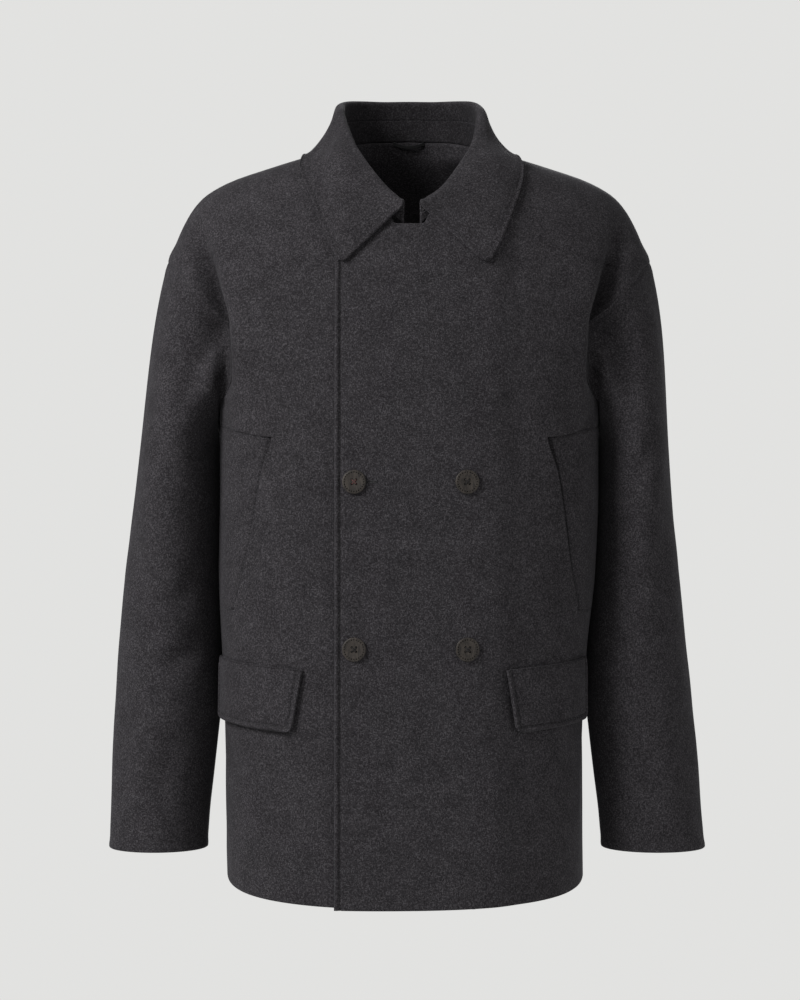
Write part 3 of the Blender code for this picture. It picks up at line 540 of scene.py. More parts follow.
def front_lines(side, edge_x, lapping):
    """Angles and heights of a front's rows and columns, from its free edge to the side."""
    share, side_z = COLUMNS[None, :], ROWS[:, None]
    outer = side * side_angles(True)
    outer = (outer - side * seam_trim(outer, ROWS))[:, None]
    edge = angle_at(edge_x, panel_height(ROWS, HEM_FRONT_Z, NECK_FRONT_Z))[:, None]
    top_edge = float(angle_at(edge_x, NECK_FRONT_Z))
    across = (top_edge + (side * math.pi / 2 - top_edge) * share) * side
    top_z = curve(NECK_SEAM, np.maximum(np.degrees(across), 0.0), 1)
    hem_z = HEM_FRONT_Z + (HEM_SIDE_Z - HEM_FRONT_Z) * share ** HEM_ROUNDING
    z = panel_height(side_z, hem_z, top_z)
    if not lapping:
        z[0] += UNDER_HEM_RISE * (1 - share[0])
    z[-1] += SEAM_OVERLAP
    plain = edge + (outer - edge) * HELD
    mouth_z = np.clip(z, POCKET_BOTTOM_Z, POCKET_TOP_Z)
    mouth_x = side * curve(POCKET_MOUTH, mouth_z, 1) + curve(BODY_RINGS, mouth_z, 5)
    away = np.maximum(np.maximum(z - POCKET_TOP_Z, POCKET_BOTTOM_Z - z), 0.0)
    mouth = angle_at(mouth_x, mouth_z)
    middle = mouth + (plain - mouth) * step(0.0, MOUTH_REACH, away)
    beyond = (share - HELD) / (1 - HELD)
    angle = np.where(share <= HELD, edge + (middle - edge) * share / HELD,
                     middle + (outer - middle) * beyond)
    most, reach = POCKET_TOP_RISE
    near = np.maximum(0.0, 1 - abs(side_z - POCKET_TOP_Z) / reach)
    rise = most * beyond * near * (1 - step(0.7, 1.0, beyond))
    return angle, z + np.where(share > HELD, rise, 0.0)


def back_lines(side):
    """Angles and heights of a back's rows and columns, from the middle to the side."""
    share, side_z = COLUMNS[None, :], ROWS[:, None]
    outer = side_angles(False)
    outer = (outer + seam_trim(outer, ROWS))[:, None]
    top_z = curve(NECK_SEAM, 180 - 90 * share, 1)
    hem_z = HEM_BACK_Z + (HEM_SIDE_Z - HEM_BACK_Z) * share ** HEM_ROUNDING
    z = panel_height(side_z, hem_z, top_z)
    z[-1] += SEAM_OVERLAP
    middle = math.pi - seam_trim(math.pi, z)
    return side * (middle + (outer - middle) * share), z


def fine(lines, row_knots, row_places, column_knots, column_places):
    """A grid of angles and heights, smoothly filled in."""
    filled = []
    for values in lines:
        rows = refine(values, row_knots, row_places)
        filled.append(refine(rows.T, column_knots, column_places).T)
    return filled


def lap_offset(x):
    """How far the upper front stands off the body."""
    return LAP_OFFSET * (1 - step(*LAP_RAMP, x))


def front_grid(side, edge_x, lapping):
    """A front's fine angles and heights, its top row set exactly on the neck seam."""
    angle, z = fine(front_lines(side, edge_x, lapping), np.arange(len(ROWS)), ROW_PLACES,
                    COLUMNS, COLUMN_PLACES)
    seam = curve(NECK_SEAM, abs(np.degrees(angle[-1])), 1) + SEAM_OVERLAP
    near = np.clip(1 - (z[-1:] - z) / NECK_BAND, 0, 1) ** 2
    return angle, z + (seam - z[-1]) * near


def pocket_window():
    """Which of a front's fine rows and columns lie in the pocket's opening."""
    low = np.searchsorted(ROW_PLACES, POCKET_ROW_LOW)
    high = np.searchsorted(ROW_PLACES, POCKET_ROW_HIGH)
    column = np.searchsorted(COLUMN_PLACES, HELD - 1e-9)
    return low, high, column


def panel_rolls(shape, free_edge):
    """How far each edge of a panel turns in: the hem and a free edge fully, seams little."""
    rolls = np.full(shape, SEAM_ROLL)
    rolls[0] = CLOTH / 2
    if free_edge:
        rolls[:, 0] = CLOTH / 2
    return rolls


def seam_relief(points, sides):
    """The shallow hollow along sewn edges; sides are axis and end of each sewn edge."""
    total = 0.0
    for axis, end in sides:
        away = distance_along(points, axis)
        if end:
            away = np.take(away, [-1], axis=axis) - away
        total = total + profile(away, SEAM_PROFILE)
    return total


def front(name, side, edge_x, lapping, folds):
    """One front, cut out where its hand pocket opens."""
    angle, z = front_grid(side, edge_x, lapping)
    flat = body_base(angle, z)
    low, high, column = pocket_window()
    offset = lap_offset(flat[..., 0]) if lapping else np.zeros(z.shape)
    from_edge = distance_along(flat, 1)
    offset = offset + edge_relief(from_edge, LAP_GROOVE)
    to_mouth = from_edge[:, column:column + 1] - from_edge
    in_mouth = step(POCKET_BOTTOM_Z - MOUTH_FADE, POCKET_BOTTOM_Z + MOUTH_FADE, z) * (
        1 - step(POCKET_TOP_Z - MOUTH_FADE, POCKET_TOP_Z + MOUTH_FADE, z))
    offset = offset + np.where(to_mouth >= 0, profile(to_mouth, MOUTH_PROFILE), 0) * in_mouth
    offset = offset + seam_relief(flat, ((1, 1), (0, 1)))
    offset = offset + creases(np.degrees(angle), z, BODY_FOLD_RADIUS, folds)
    points = body_point(angle, z, offset)
    rolls = panel_rolls(z.shape, True)
    rolls[low, column + 1:], rolls[high, column + 1:] = FLUSH_ROLL, POCKET_TOP_ROLL
    rolls[low:high + 1, column] = CLOTH / 2
    kept = np.ones((z.shape[0] - 1, z.shape[1] - 1), bool)
    kept[low:high, column:] = False
    # darker along the edge stitching, and painted shade on the floor of the arm's valley
    pressed = 0.38 * edge_press_and_shade(from_edge) + VALLEY_SHADE[side] * np.clip(
        fold_depth(flat) / VALLEY_DEEP, 0, 1) ** 1.5
    STITCH_LINES[name] = [line_at(points, from_edge, EDGE_STITCH_AT)[1:-1]]
    return shell(name, points, CLOTH, rolls, kept, pressed=pressed)


def back(name, side, folds):
    """One half of the back."""
    angle, z = fine(back_lines(side), np.arange(len(ROWS)), ROW_PLACES, COLUMNS, COLUMN_PLACES)
    flat = body_base(angle, z)
    offset = seam_relief(flat, ((1, 1), (0, 1))) + 0.4 * seam_relief(flat, ((1, 0),))
    offset = offset + creases(np.degrees(angle), z, BODY_FOLD_RADIUS, folds)
    rolls = panel_rolls(z.shape, False)
    rolls[:, 0] = rolls[-1] = FLUSH_ROLL
    return shell(name, body_point(angle, z, offset), CLOTH, rolls)


def hand_pocket(name, side, edge_x, lapping):
    """The wedge of cloth that runs under the slanted mouth and fills up to the side seam."""
    angle, z = front_lines(side, edge_x, lapping)
    rows = slice(POCKET_ROW_LOW, POCKET_ROW_HIGH + 1)
    angle, z = angle[rows, POCKET_COLUMN:], z[rows, POCKET_COLUMN:].copy()
    z[0] -= SEAM_OVERLAP
    z[-1] += SEAM_OVERLAP
    under = POCKET_LAP / np.linalg.norm(body_base(angle[:, :1], z[:, :1])[..., :2], axis=-1)
    angle = np.hstack([angle[:, :1] - side * under, angle])
    z = np.hstack([z[:, :1], z])
    row_knots = np.arange(POCKET_ROW_LOW, POCKET_ROW_HIGH + 1)
    row_places = ROW_PLACES[(ROW_PLACES >= POCKET_ROW_LOW) & (ROW_PLACES <= POCKET_ROW_HIGH)]
    places = spread([*POCKET_KNOTS[:2], 0.06, *POCKET_KNOTS[2:]],
                    [POCKET_MOUTH_COLUMN, 6, 8, 8, 7, 4, 4])
    angle, z = fine((angle, z), row_knots, row_places, POCKET_KNOTS, places)
    open_fall = refine(POCKET_FALL, POCKET_KNOTS, places)
    shut_fall = np.interp(places, POCKET_SHUT_KNOTS, POCKET_SHUT_FALL)
    height = (z - z[0]) / (z[-1] - z[0])
    start, end, share = POCKET_CLOSES
    open_part = step(*POCKET_OPENS, height) * (1 - share * step(start, end, height))
    fall = shut_fall + (open_fall - shut_fall) * open_part
    flat = body_base(angle, z)
    offset = seam_relief(flat, ((1, 1),)) - fall
    rolls = np.full(z.shape, SEAM_ROLL)
    rolls[0], rolls[-1] = FLUSH_ROLL, POCKET_TOP_ROLL
    along = distance_along(flat, 1)
    from_mouth = along - along[:, POCKET_MOUTH_COLUMN:POCKET_MOUTH_COLUMN + 1]
    # painted shadow in the gap under the mouth, and a painted shade line along the pocket's top
    gap = (1 - step(*POCKET_GAP, from_mouth)) * step(0.0, POCKET_GAP_START, height)
    top_line = 1 - step(0.0, POCKET_TOP_LINE, 1 - height)
    return shell(name, body_point(angle, z, offset), CLOTH, rolls,
                 pressed=POCKET_SHADE[side] * np.maximum(gap, 0.5 * top_line))


# Sleeves

LOOP_COUNT = 2 * (len(ARM_ROWS) - 1)
ROUND_STEPS = 8               # fine points round the sleeve for each coarse one


def armhole_loop(side):
    """Seam angles and heights from the tip down the front, under the arm and up behind."""
    down = list(range(ARM_ROW_HIGH, ARM_ROW_LOW - 1, -1))
    up = list(range(ARM_ROW_LOW + 1, ARM_ROW_HIGH))
    angle = np.concatenate([side_angles(True)[down], side_angles(False)[up]])
    return side * angle, ROWS[down + up]


def round_fine(values):
    """Values all round the armhole, filled in smoothly."""
    ends = 3
    wrapped = np.concatenate([values[-ends:], values, values[:ends + 1]])
    wanted = np.arange(LOOP_COUNT * ROUND_STEPS) / ROUND_STEPS
    return refine(wrapped, np.arange(-ends, LOOP_COUNT + ends + 1), wanted)


def sleeve_ring(side, z, turn):
    """Points round the sleeve at height z."""
    outer, inner, front_y, back_y, shift = (curve(SLEEVE_RINGS, z, c) for c in range(1, 6))
    outer_x = side * outer + shift
    inner_x = side * inner + curve(BODY_RINGS, z, 5)
    x = (outer_x + inner_x) / 2 + (outer_x - inner_x) / 2 * np.cos(turn)
    y = (front_y + back_y) / 2 - (back_y - front_y) / 2 * np.sin(turn)
    return np.stack([x, y, np.broadcast_to(z, x.shape)], -1)


def sleeve_rows(side):
    """Points of the sleeve from the armhole to the cuff, and the body's normals at its seam."""
    angle, z = armhole_loop(side)
    turns = 2 * math.pi * np.arange(LOOP_COUNT) / LOOP_COUNT
    seam, normal = body_point(angle, z), body_normal(angle, z)
    ahead = np.roll(seam, -1, axis=0) - np.roll(seam, 1, axis=0)
    outward = unit(np.cross(normal, ahead)) * side
    low = (1 - np.cos(turns)) / 2
    first_z = np.array(SLEEVE_RINGS[0][0])
    end = sleeve_ring(side, first_z, turns)
    below = sleeve_ring(side, first_z - SLEEVE_LOOK, turns)
    leaving = outward.copy()
    leaving[0] = (side * SLEEVE_LEAVES[0], 0, SLEEVE_LEAVES[1])
    length = np.linalg.norm(end - seam - outward * SLEEVE_SEAM, axis=-1)[:, None]
    start = round_fine(leaving * length * (1.0 - SLEEVE_SLACK * low)[:, None])
    drop = round_fine(unit(below - end) * length)
    fine_angle, fine_z = round_fine(angle), round_fine(z)
    turns = 2 * math.pi * np.arange(LOOP_COUNT * ROUND_STEPS) / (LOOP_COUNT * ROUND_STEPS)
    first = body_point(fine_angle, fine_z) + unit(round_fine(outward)) * SLEEVE_SEAM
    last = sleeve_ring(side, first_z, turns)
    s = np.linspace(0, 1, SLEEVE_BLEND_STEPS, endpoint=False)[:, None, None]
    upper = (first * (1 + 2 * s) * (1 - s) ** 2 + last * s * s * (3 - 2 * s)
             + start * s * (1 - s) ** 2 - drop * s * s * (1 - s))
    heights = np.linspace(SLEEVE_RINGS[0][0], SLEEVE_RINGS[-1][0], SLEEVE_LOWER_ROWS)
    lower = np.stack([sleeve_ring(side, h, turns) for h in heights])
    return np.concatenate([upper, lower]), body_normal(fine_angle, fine_z), turns


def sleeve(name, side, folds):
    """One sleeve. Turn 0 is the outside of the arm, a quarter turn its front."""
    points, seam_normals, turns = sleeve_rows(side)
    normals = normals_of(points, True)
    normals = normals * math.copysign(1, normals[-1, 0, 0] * side)
    degrees = np.broadcast_to(np.degrees(turns), points.shape[:2])
    from_seam = distance_along(points, 0)
    to_cuff = from_seam[-1:] - from_seam
    offset = creases(degrees, points[..., 2], SLEEVE_FOLD_RADIUS, folds)
    offset = offset * step(0.0, FOLD_FADES[0], from_seam) * step(0.0, FOLD_FADES[1], to_cuff)
    offset = offset + profile(from_seam, ARMHOLE_PROFILE) + profile(to_cuff, CUFF_PROFILE)
    for depth, middle, spread_over in ARM_VALLEYS:
        offset = offset - (depth * bump(degrees, middle, spread_over)
                           * bump(from_seam, *ARM_VALLEY)
                           * step(0.0, ARM_VALLEY_START, from_seam))
    points = points + normals * offset[..., None]
    moved = normals_of(points, True)
    normals = moved * math.copysign(1, (moved * normals).sum())
    normals[0] = seam_normals
    rolls = np.full(points.shape[:2], SEAM_ROLL)
    rolls[-1] = CLOTH / 2
    # painted shade where the sleeve's valley turns in against the body
    round_arm, down_arm = ARM_SHADE
    pressed = VALLEY_SHADE[side] * bump(degrees, *round_arm) * bump(from_seam, *down_arm)
    return shell(name, points, CLOTH, rolls, None, True, normals, pressed)


# Collar

def leaf_height(points):
    """How high the middle of the leaf lies over the body, on one front or on both."""
    x = points[..., 0]
    doubled = step(FREE_EDGE_X - 0.010, FREE_EDGE_X, x) * lap_offset(x)
    return LEAF_LIFT + np.where(points[..., 1] < 0, doubled, 0.0)


def lifted(points):
    """Points moved off the body along its normal until the leaf lies clear of what it covers."""
    need = leaf_height(points)
    angle = np.arctan2(points[..., 0], -points[..., 1])
    z = np.minimum(points[..., 2], BODY_RINGS[-1][0])
    normal = body_normal(angle, z)
    flat = points[..., :2] / np.linalg.norm(points[..., :2], axis=-1, keepdims=True)
    beyond = (np.linalg.norm(points[..., :2], axis=-1)
              - np.linalg.norm(body_base(angle, z)[..., :2], axis=-1))
    clear = beyond * (normal[..., :2] * flat).sum(-1)
    move = np.where(points[..., 2] > BODY_RINGS[-1][0], 0.0, np.maximum(need - clear, 0.0))
    return points + normal * move[..., None]


def collar_lines():
    """Rows of points up the stand, over the roll and down to the leaf's edge."""
    table = np.array(COLLAR, float)
    degrees, edge_x, edge_z, in_front = table[:, 0], table[:, 4], table[:, 5], table[:, 6] > 0
    seam = body_base(np.radians(degrees), curve(NECK_SEAM, degrees, 1))
    edge_angle = np.where(in_front, angle_at(edge_x, edge_z), angle_at(edge_x, edge_z, False))
    edge_angle[0] = math.pi
    half = np.stack([seam, table[:, 1:4] + (0, 0, ROLL_RISE), body_base(edge_angle, edge_z)], 1)
    mirrored = half[:0:-1] * (-1, 1, 1)
    stations = np.concatenate([mirrored, half])
    seam, roll, edge = stations[:, 0], stations[:, 1], stations[:, 2]
    up = np.array((0, 0, 1.0))
    out = unit(seam * (1, 1, 0))
    degrees = np.degrees(np.arctan2(abs(seam[:, 0]), -seam[:, 1]))
    foot = seam + up * STAND_LIFT - out * (CLOTH / 2)
    shoulder = roll - up * ROLL_DROP - out * (CLOTH / 2)
    crown = roll - up * (CLOTH / 2) + out * (ROLL_WIDTH / 2 - CLOTH / 2)
    fall = roll - up * ROLL_DROP + out * (ROLL_WIDTH - CLOTH / 2 + ROLL_EASE)
    rise = shoulder - foot
    lap = unit(rise) * SEAM_OVERLAP
    top = foot + rise * STAND_SHARE
    lines = [foot, foot + rise * STAND_SHARE / 2, top + lap, top - lap, shoulder, crown, fall]
    sag = LEAF_SAG * bump(degrees, 84, 34)[:, None]
    for share in LEAF_SHARES:
        hollow = sag * math.sin(math.pi * share) * (out + up * 0.6)
        lines.append(fall + (edge - fall) * share - hollow)
    whole = np.stack(lines, 1)
    leaf_part = np.array((0, 0.1, 0.4, 0.4, 0.8, 0.9, 1, 1, 1, 1, 1, 1))
    to_edge = np.array((0,) * 7 + LEAF_SHARES)
    behind = step(5, 12, degrees)[:, None]
    share = leaf_part * behind + to_edge * (1 - behind)
    stand_move = STAND_SHIFT * np.clip(1 - degrees / 34, 0, 1)[:, None]
    leaf_move = LEAF_SHIFT * (1 - step(40, 110, degrees))[:, None]
    whole[..., 0] += stand_move + (leaf_move - stand_move) * share
    whole[:, 7:] = lifted(whole[:, 7:])
    return whole


STAND_LINES = slice(0, 3)
LEAF_LINES = slice(3, 12)
NECK_SHADE = 0.85             # how much painted shade darkens the cloth inside the neck
NECK_SHADE_FADE = (0.010, 0.040)   # from the stand's ends, where that sets in
LEAF_INSIDE_COLUMNS = (5, 11) # columns over which it ends at the roll
LEAF_HIDDEN_COLUMNS = 9       # columns of the leaf inside the neck and over the roll
LEAF_CORNER = 0.010


def collar_grid(lines, steps):
    """Fine points of one collar piece, station by station."""
    coarse = collar_lines()
    stations = spread(np.arange(len(coarse)), [10] + [6] * (len(coarse) - 3) + [10])
    whole = refine(coarse, np.arange(len(coarse)), stations)
    whole = whole[:, lines]
    length = distance_along(whole, 1).mean(0)
    return np.transpose(refine(np.transpose(whole, (1, 0, 2)), length,
                               spread(length, steps)), (1, 0, 2))


def collar_piece(name, lines, steps, corner):
    """The stand, or the leaf with its rounded corners, relief and stitching."""
    points = collar_grid(lines, steps)
    along = distance_along(points, 0)
    # painted shade inside the neck, fading out towards the stand's ends
    pressed = NECK_SHADE * step(*NECK_SHADE_FADE, np.minimum(along, along[-1:] - along))
    height = np.full(points.shape[:2], CLOTH / 2)
    if corner:
        points = round_corner(points, 0, -1, corner)
        points = round_corner(points, -1, -1, corner)
        height = height + leaf_relief(points)
        inside = 1 - step(*LEAF_INSIDE_COLUMNS, np.arange(points.shape[1]))
        pressed = 0.12 * edge_press_and_shade(leaf_edge(points)) + pressed * inside
    points = points + outward_normals(points) * height[..., None]
    rolls = np.full(points.shape[:2], SEAM_ROLL)
    rolls[[0, -1]] = CLOTH / 2
    rolls[:, 0] = FLUSH_ROLL
    if corner:
        rolls[:, -1] = CLOTH / 2
        STITCH_LINES[name] = leaf_stitch_lines(points)
    return shell(name, points, CLOTH, rolls, pressed=pressed)


def leaf_edge(points):
    """Distance to the nearest of the leaf's two fronts and its outer edge."""
    down, along = distance_along(points, 1), distance_along(points, 0)
    return np.minimum(np.minimum(along, along[-1:] - along), down[:, -1:] - down)


def leaf_stitch_lines(points):
    """Stitching down both fronts of the leaf and along its outer edge."""
    down, along = distance_along(points, 1), distance_along(points, 0)
    outer = line_at(points[:, ::-1], down[:, -1:] - down[:, ::-1], EDGE_STITCH_AT)
    inside = (along[:, -1] > EDGE_STITCH_AT) & (along[-1, -1] - along[:, -1] > EDGE_STITCH_AT)
    turned, back = points.swapaxes(0, 1), along.swapaxes(0, 1)
    shown = slice(LEAF_HIDDEN_COLUMNS, None)
    ends = [line_at(turned[shown], back[shown], EDGE_STITCH_AT),
            line_at(turned[shown, ::-1], back[shown, -1:] - back[shown, ::-1], EDGE_STITCH_AT)]
    short = (down[0, -1] - down[0, shown]) > EDGE_STITCH_AT
    return [outer[inside], *[end[short] for end in ends]]


def leaf_relief(points):
    """Turned edges round the leaf, and soft waves that run down from the roll."""
    to_edge = distance_along(points, 1)
    to_edge = to_edge[:, -1:] - to_edge
    from_front = distance_along(points, 0)
    nearest = leaf_edge(points)
    share = 1 - to_edge / to_edge.max(axis=1, keepdims=True)
    round_neck = from_front / from_front[-1:]
    wave = sum(high * np.sin(turns * round_neck + start) for high, turns, start in LEAF_WAVES)
    return edge_relief(nearest) + wave * step(0.25, 0.7, share) * step(0.004, 0.02, to_edge)


# Flaps

def flap(name, side):
    """A pocket flap that hangs from its seam and follows the body's side."""
    across = spread([0, 0.10, 0.90, 1], [10, 30, 10])[None, :]
    down = spread([0, 0.14, 0.84, 1], [8, 14, 10])[:, None]
    z = FLAP_TOP_Z[0] + FLAP_TOP_Z[1] * across - FLAP_DROP * down
    shift = curve(BODY_RINGS, z, 5)
    start = angle_at(side * (FLAP_INNER_X[0] + FLAP_INNER_X[1] * down) + shift, z)
    angle = start + (side * math.radians(FLAP_END_DEGREES[side]) - start) * across
    lift = FLAP_LIFT[0] + FLAP_LIFT[1] * down + FLAP_FLARE * down * across ** 2 + FLAP_CLOTH
    if side > 0:
        lift = lift + lap_offset(body_base(angle, z)[..., 0])
    points = body_point(angle, z, lift)
    points = round_corner(points, -1, 0, FLAP_CORNERS[0])
    points = round_corner(points, -1, -1, FLAP_CORNERS[1])
    left, top = distance_along(points, 1), distance_along(points, 0)
    right, bottom = left[:, -1:] - left, top[-1:] - top
    nearest = np.minimum(np.minimum(left, right), bottom)
    relief = edge_relief(nearest, FLAP_GROOVE) + profile(top, FLAP_SEAM_PROFILE)
    points = points + outward_normals(points) * relief[..., None]
    rolls = np.full(points.shape[:2], FLAP_CLOTH / 2)
    rolls[0] = SEAM_ROLL
    # darker along the edge stitching, and a painted shadow line along the flap's seam at its top
    pressed = np.maximum(0.3 * edge_press_and_shade(nearest), 0.7 * bump(top, 0, 0.0018))
    STITCH_LINES[name] = flap_stitch_lines(points)
    return shell(name, points, FLAP_CLOTH, rolls, pressed=pressed)


def flap_stitch_lines(points):
    """Stitching down both sides of the flap and along its lower edge."""
    across, down = distance_along(points, 1), distance_along(points, 0)
    from_end = across[:, -1:] - across[:, ::-1]
    lower = line_at(points.swapaxes(0, 1)[:, ::-1], (down[-1:] - down[::-1]).swapaxes(0, 1),
                    EDGE_STITCH_AT)
    inner = (across[-1] > EDGE_STITCH_AT) & (across[-1, -1] - across[-1] > EDGE_STITCH_AT)
    above = down[-1, 0] - down[:, 0] > EDGE_STITCH_AT
    return [lower[inner], line_at(points, across, EDGE_STITCH_AT)[above],
            line_at(points[:, ::-1], from_end, EDGE_STITCH_AT)[above]]


# Buttons

BUTTON_OUTLINE = (            # radius, height
    (0.0, 0.0), (0.0070, 0.0), (0.0098, 0.0001), (0.0113, 0.0007), (0.0119, 0.0014),
    (0.0120, 0.0020), (0.0118, 0.0025), (0.0112, 0.0028), (0.0104, 0.00285),
    (0.0090, 0.0028), (0.0070, 0.00262), (0.0045, 0.00245), (0.0, 0.0023),
)
BUTTON_SIDES = 72
HOLE_PITCH = 0.0031
HOLE_RADIUS = 0.00092
DIMPLES = 24
DIMPLE_RING = 0.0097
DIMPLE_RADIUS = 0.00075
DIMPLE_Z = 0.0026
HOLE_OUTLINE = (              # the cutter that drills a hole and breaks its edge
    (0, -0.002), (HOLE_RADIUS, -0.002), (HOLE_RADIUS, 0.0018), (HOLE_RADIUS * 1.5, 0.0027),
    (HOLE_RADIUS * 1.5, 0.004), (0, 0.004),
)
BUTTON_LIFT = 0.0004          # clear of the cloth, on the thread's shank
THREAD_RADIUS = 0.00028
THREAD_ASIDE = 0.00026        # from the middle to each of two strands side by side
THREAD_Z = 0.00265
THREAD_PUFF = 0.00025         # how far a strand swells up off the button
THREAD_CROSSING = 0.0004      # how much higher the second pair lies
THREAD_SINK = 0.0011          # how deep the ends go into the holes
THREAD_POINTS = 17


def round_places(radius, count, turn=0.0):
    """Places evenly round a circle."""
    return [(radius * math.cos(turn + 2 * math.pi * k / count),
             radius * math.sin(turn + 2 * math.pi * k / count)) for k in range(count)]


def lathe(mesh, outline, sides):
    """Turn an outline of radii and heights round the upright axis."""
    rings = []
    for radius, height in outline:
        rings.append([mesh.verts.new((x, y, height))
                      for x, y in round_places(radius, sides if radius else 1)])
    for low, high in zip(rings, rings[1:]):
        for k in range(sides):
            m = k + 1
            corners = [low[k % len(low)], low[m % len(low)], high[m % len(high)],
                       high[k % len(high)]]
            mesh.faces.new(list(dict.fromkeys(corners)))


def from_bmesh(name, mesh):
    """An object made of a finished working mesh, its faces outward."""
    bmesh.ops.recalc_face_normals(mesh, faces=mesh.faces)
    data = bpy.data.meshes.new(name)
    mesh.to_mesh(data)
    mesh.free()
    data.shade_smooth()
    return put(name, data)


def button_data():
    """A turned disc with a raised rim, four holes and a ring of even dimples."""
    mesh = bmesh.new()
    lathe(mesh, BUTTON_OUTLINE, BUTTON_SIDES)
    disc = from_bmesh("button_disc", mesh)
    cutter_mesh = bmesh.new()
    for x, y in round_places(HOLE_PITCH, 4, math.pi / 4):
        one = bmesh.new()
        lathe(one, HOLE_OUTLINE, 20)
        bmesh.ops.translate(one, verts=one.verts, vec=(x, y, 0))
        piece = bpy.data.meshes.new("hole")
        one.to_mesh(piece)
        one.free()
        cutter_mesh.from_mesh(piece)
        bpy.data.meshes.remove(piece)
    for x, y in round_places(DIMPLE_RING, DIMPLES):
        bmesh.ops.create_icosphere(cutter_mesh, subdivisions=2, radius=DIMPLE_RADIUS,
                                   matrix=Matrix.Translation((x, y, DIMPLE_Z)))
    cutter = from_bmesh("button_cutter", cutter_mesh)
    cut = disc.modifiers.new("holes", "BOOLEAN")
    cut.operation, cut.object, cut.solver = "DIFFERENCE", cutter, "EXACT"
    graph = bpy.context.evaluated_depsgraph_get()
    data = bpy.data.meshes.new_from_object(disc.evaluated_get(graph))
    for scratch in (disc, cutter):
        bpy.data.objects.remove(scratch)
    data.set_sharp_from_angle(angle=math.radians(50))
    return data


def button_place(x, z):
    """Matrix that lays a button on the front."""
    angle = float(angle_at(x, z))
    normal = Vector(body_normal(angle, z))
    seat = (LAP_OFFSET if x < LAP_RAMP[0] else 0.0) + BUTTON_LIFT
    turn = normal.to_track_quat("Z", "Y").to_matrix().to_4x4()
    return Matrix.Translation(Vector(body_point(angle, z, seat))) @ turn


def thread_data():
    """Doubled thread crossed through the four holes, sunk into them at its ends."""
    mesh = bmesh.new()
    reach = HOLE_PITCH + 0.0001
    for number, turn in enumerate((math.pi / 4, -math.pi / 4)):
        ahead = Vector((math.cos(turn), math.sin(turn), 0))
        aside = Vector((-ahead.y, ahead.x, 0))
        for strand in (-1, 1):
            points = []
            for share in np.linspace(-1, 1, THREAD_POINTS).tolist():
                rise = (THREAD_Z + THREAD_CROSSING * number * (1 - share ** 2)
                        + THREAD_PUFF * (1 - share ** 4) - THREAD_SINK * abs(share) ** 9)
                place = ahead * (share * reach) + aside * (strand * THREAD_ASIDE)
                points.append(Vector((place.x, place.y, rise)))
            tube(mesh, points, THREAD_RADIUS, 8)
    return from_bmesh("thread", mesh)


def tube(mesh, points, radius, sides):
    """A round closed strand along points."""
    rings = []
    for i, point in enumerate(points):
        ahead = (points[min(i + 1, len(points) - 1)] - points[max(i - 1, 0)]).normalized()
        side = ahead.orthogonal() if i == 0 else (side - ahead * side.dot(ahead))
        side = side.normalized()
        other = ahead.cross(side)
        rings.append([mesh.verts.new(point + side * x + other * y)
                      for x, y in round_places(radius, sides)])
    for low, high in zip(rings, rings[1:]):
        for k in range(sides):
            m = (k + 1) % sides
            mesh.faces.new((low[k], low[m], high[m], high[k]))
    mesh.faces.new(rings[0])
    mesh.faces.new(rings[-1])


# Hanger loop

LOOP_HALF = 0.018
LOOP_TAPE = (0.0040, 0.0012)  # width and thickness
LOOP_SLACK = 0.0030           # how far the loop's middle hangs down and off the neck
LOOP_TOP_Z = NECK_BACK_Z + 0.0005
LOOP_GAP = 0.0003             # between the cloth and the loop's ends
LOOP_ROLL = 0.0005


def hanger_loop(name):
    """The slack loop of tape inside the back of the neck."""
    width, thickness = LOOP_TAPE
    share = np.linspace(-1, 1, 41)[None, :]
    edge = np.linspace(0, 1, 9)[:, None]
    slack = LOOP_SLACK * (1 - share * share)
    z = LOOP_TOP_Z - slack - width * edge
    angle = angle_at(share * LOOP_HALF + 0 * z, z, False)
    points = body_point(angle, z, -(CLOTH + LOOP_GAP + slack) + 0 * z)
    return shell(name, points, thickness, LOOP_ROLL, normals=body_normal(angle, z))


# Finishes

def link(tree, source, target):
    """Join two sockets."""
    tree.links.new(source, target)


def add(tree, kind, **settings):
    """A new node with its settings."""
    made = tree.nodes.new(kind)
    for key, value in settings.items():
        setattr(made, key, value)
    return made


def feed(tree, socket, value):
    """Give a socket a link or a plain value."""
    if hasattr(value, "is_linked"):
        link(tree, value, socket)
    else:
        socket.default_value = value


def made_with(tree, kind, values, **settings):
    """A new node with its settings and its inputs by name."""
    made = add(tree, kind, **settings)
    for name, value in values.items():
        feed(tree, made.inputs[name], value)
    return made


def noise(tree, vector, scale, detail, roughness=0.5, distortion=0.0):
    """Cloudy noise between 0 and 1."""
    return made_with(tree, "ShaderNodeTexNoise",
                     {"Vector": vector, "Scale": scale, "Detail": detail,
                      "Roughness": roughness, "Distortion": distortion}).outputs["Fac"]


def math_node(tree, operation, first, second):
    """A sum, product or the like of two values."""
    made = add(tree, "ShaderNodeMath", operation=operation)
    feed(tree, made.inputs[0], first)
    feed(tree, made.inputs[1], second)
    return made.outputs[0]


def remap(tree, value, low, high, to_low=0.0, to_high=1.0):
    """A value led smoothly from one range to another."""
    return made_with(tree, "ShaderNodeMapRange",
                     {"Value": value, "From Min": low, "From Max": high, "To Min": to_low,
                      "To Max": to_high}, interpolation_type="SMOOTHSTEP").outputs["Result"]


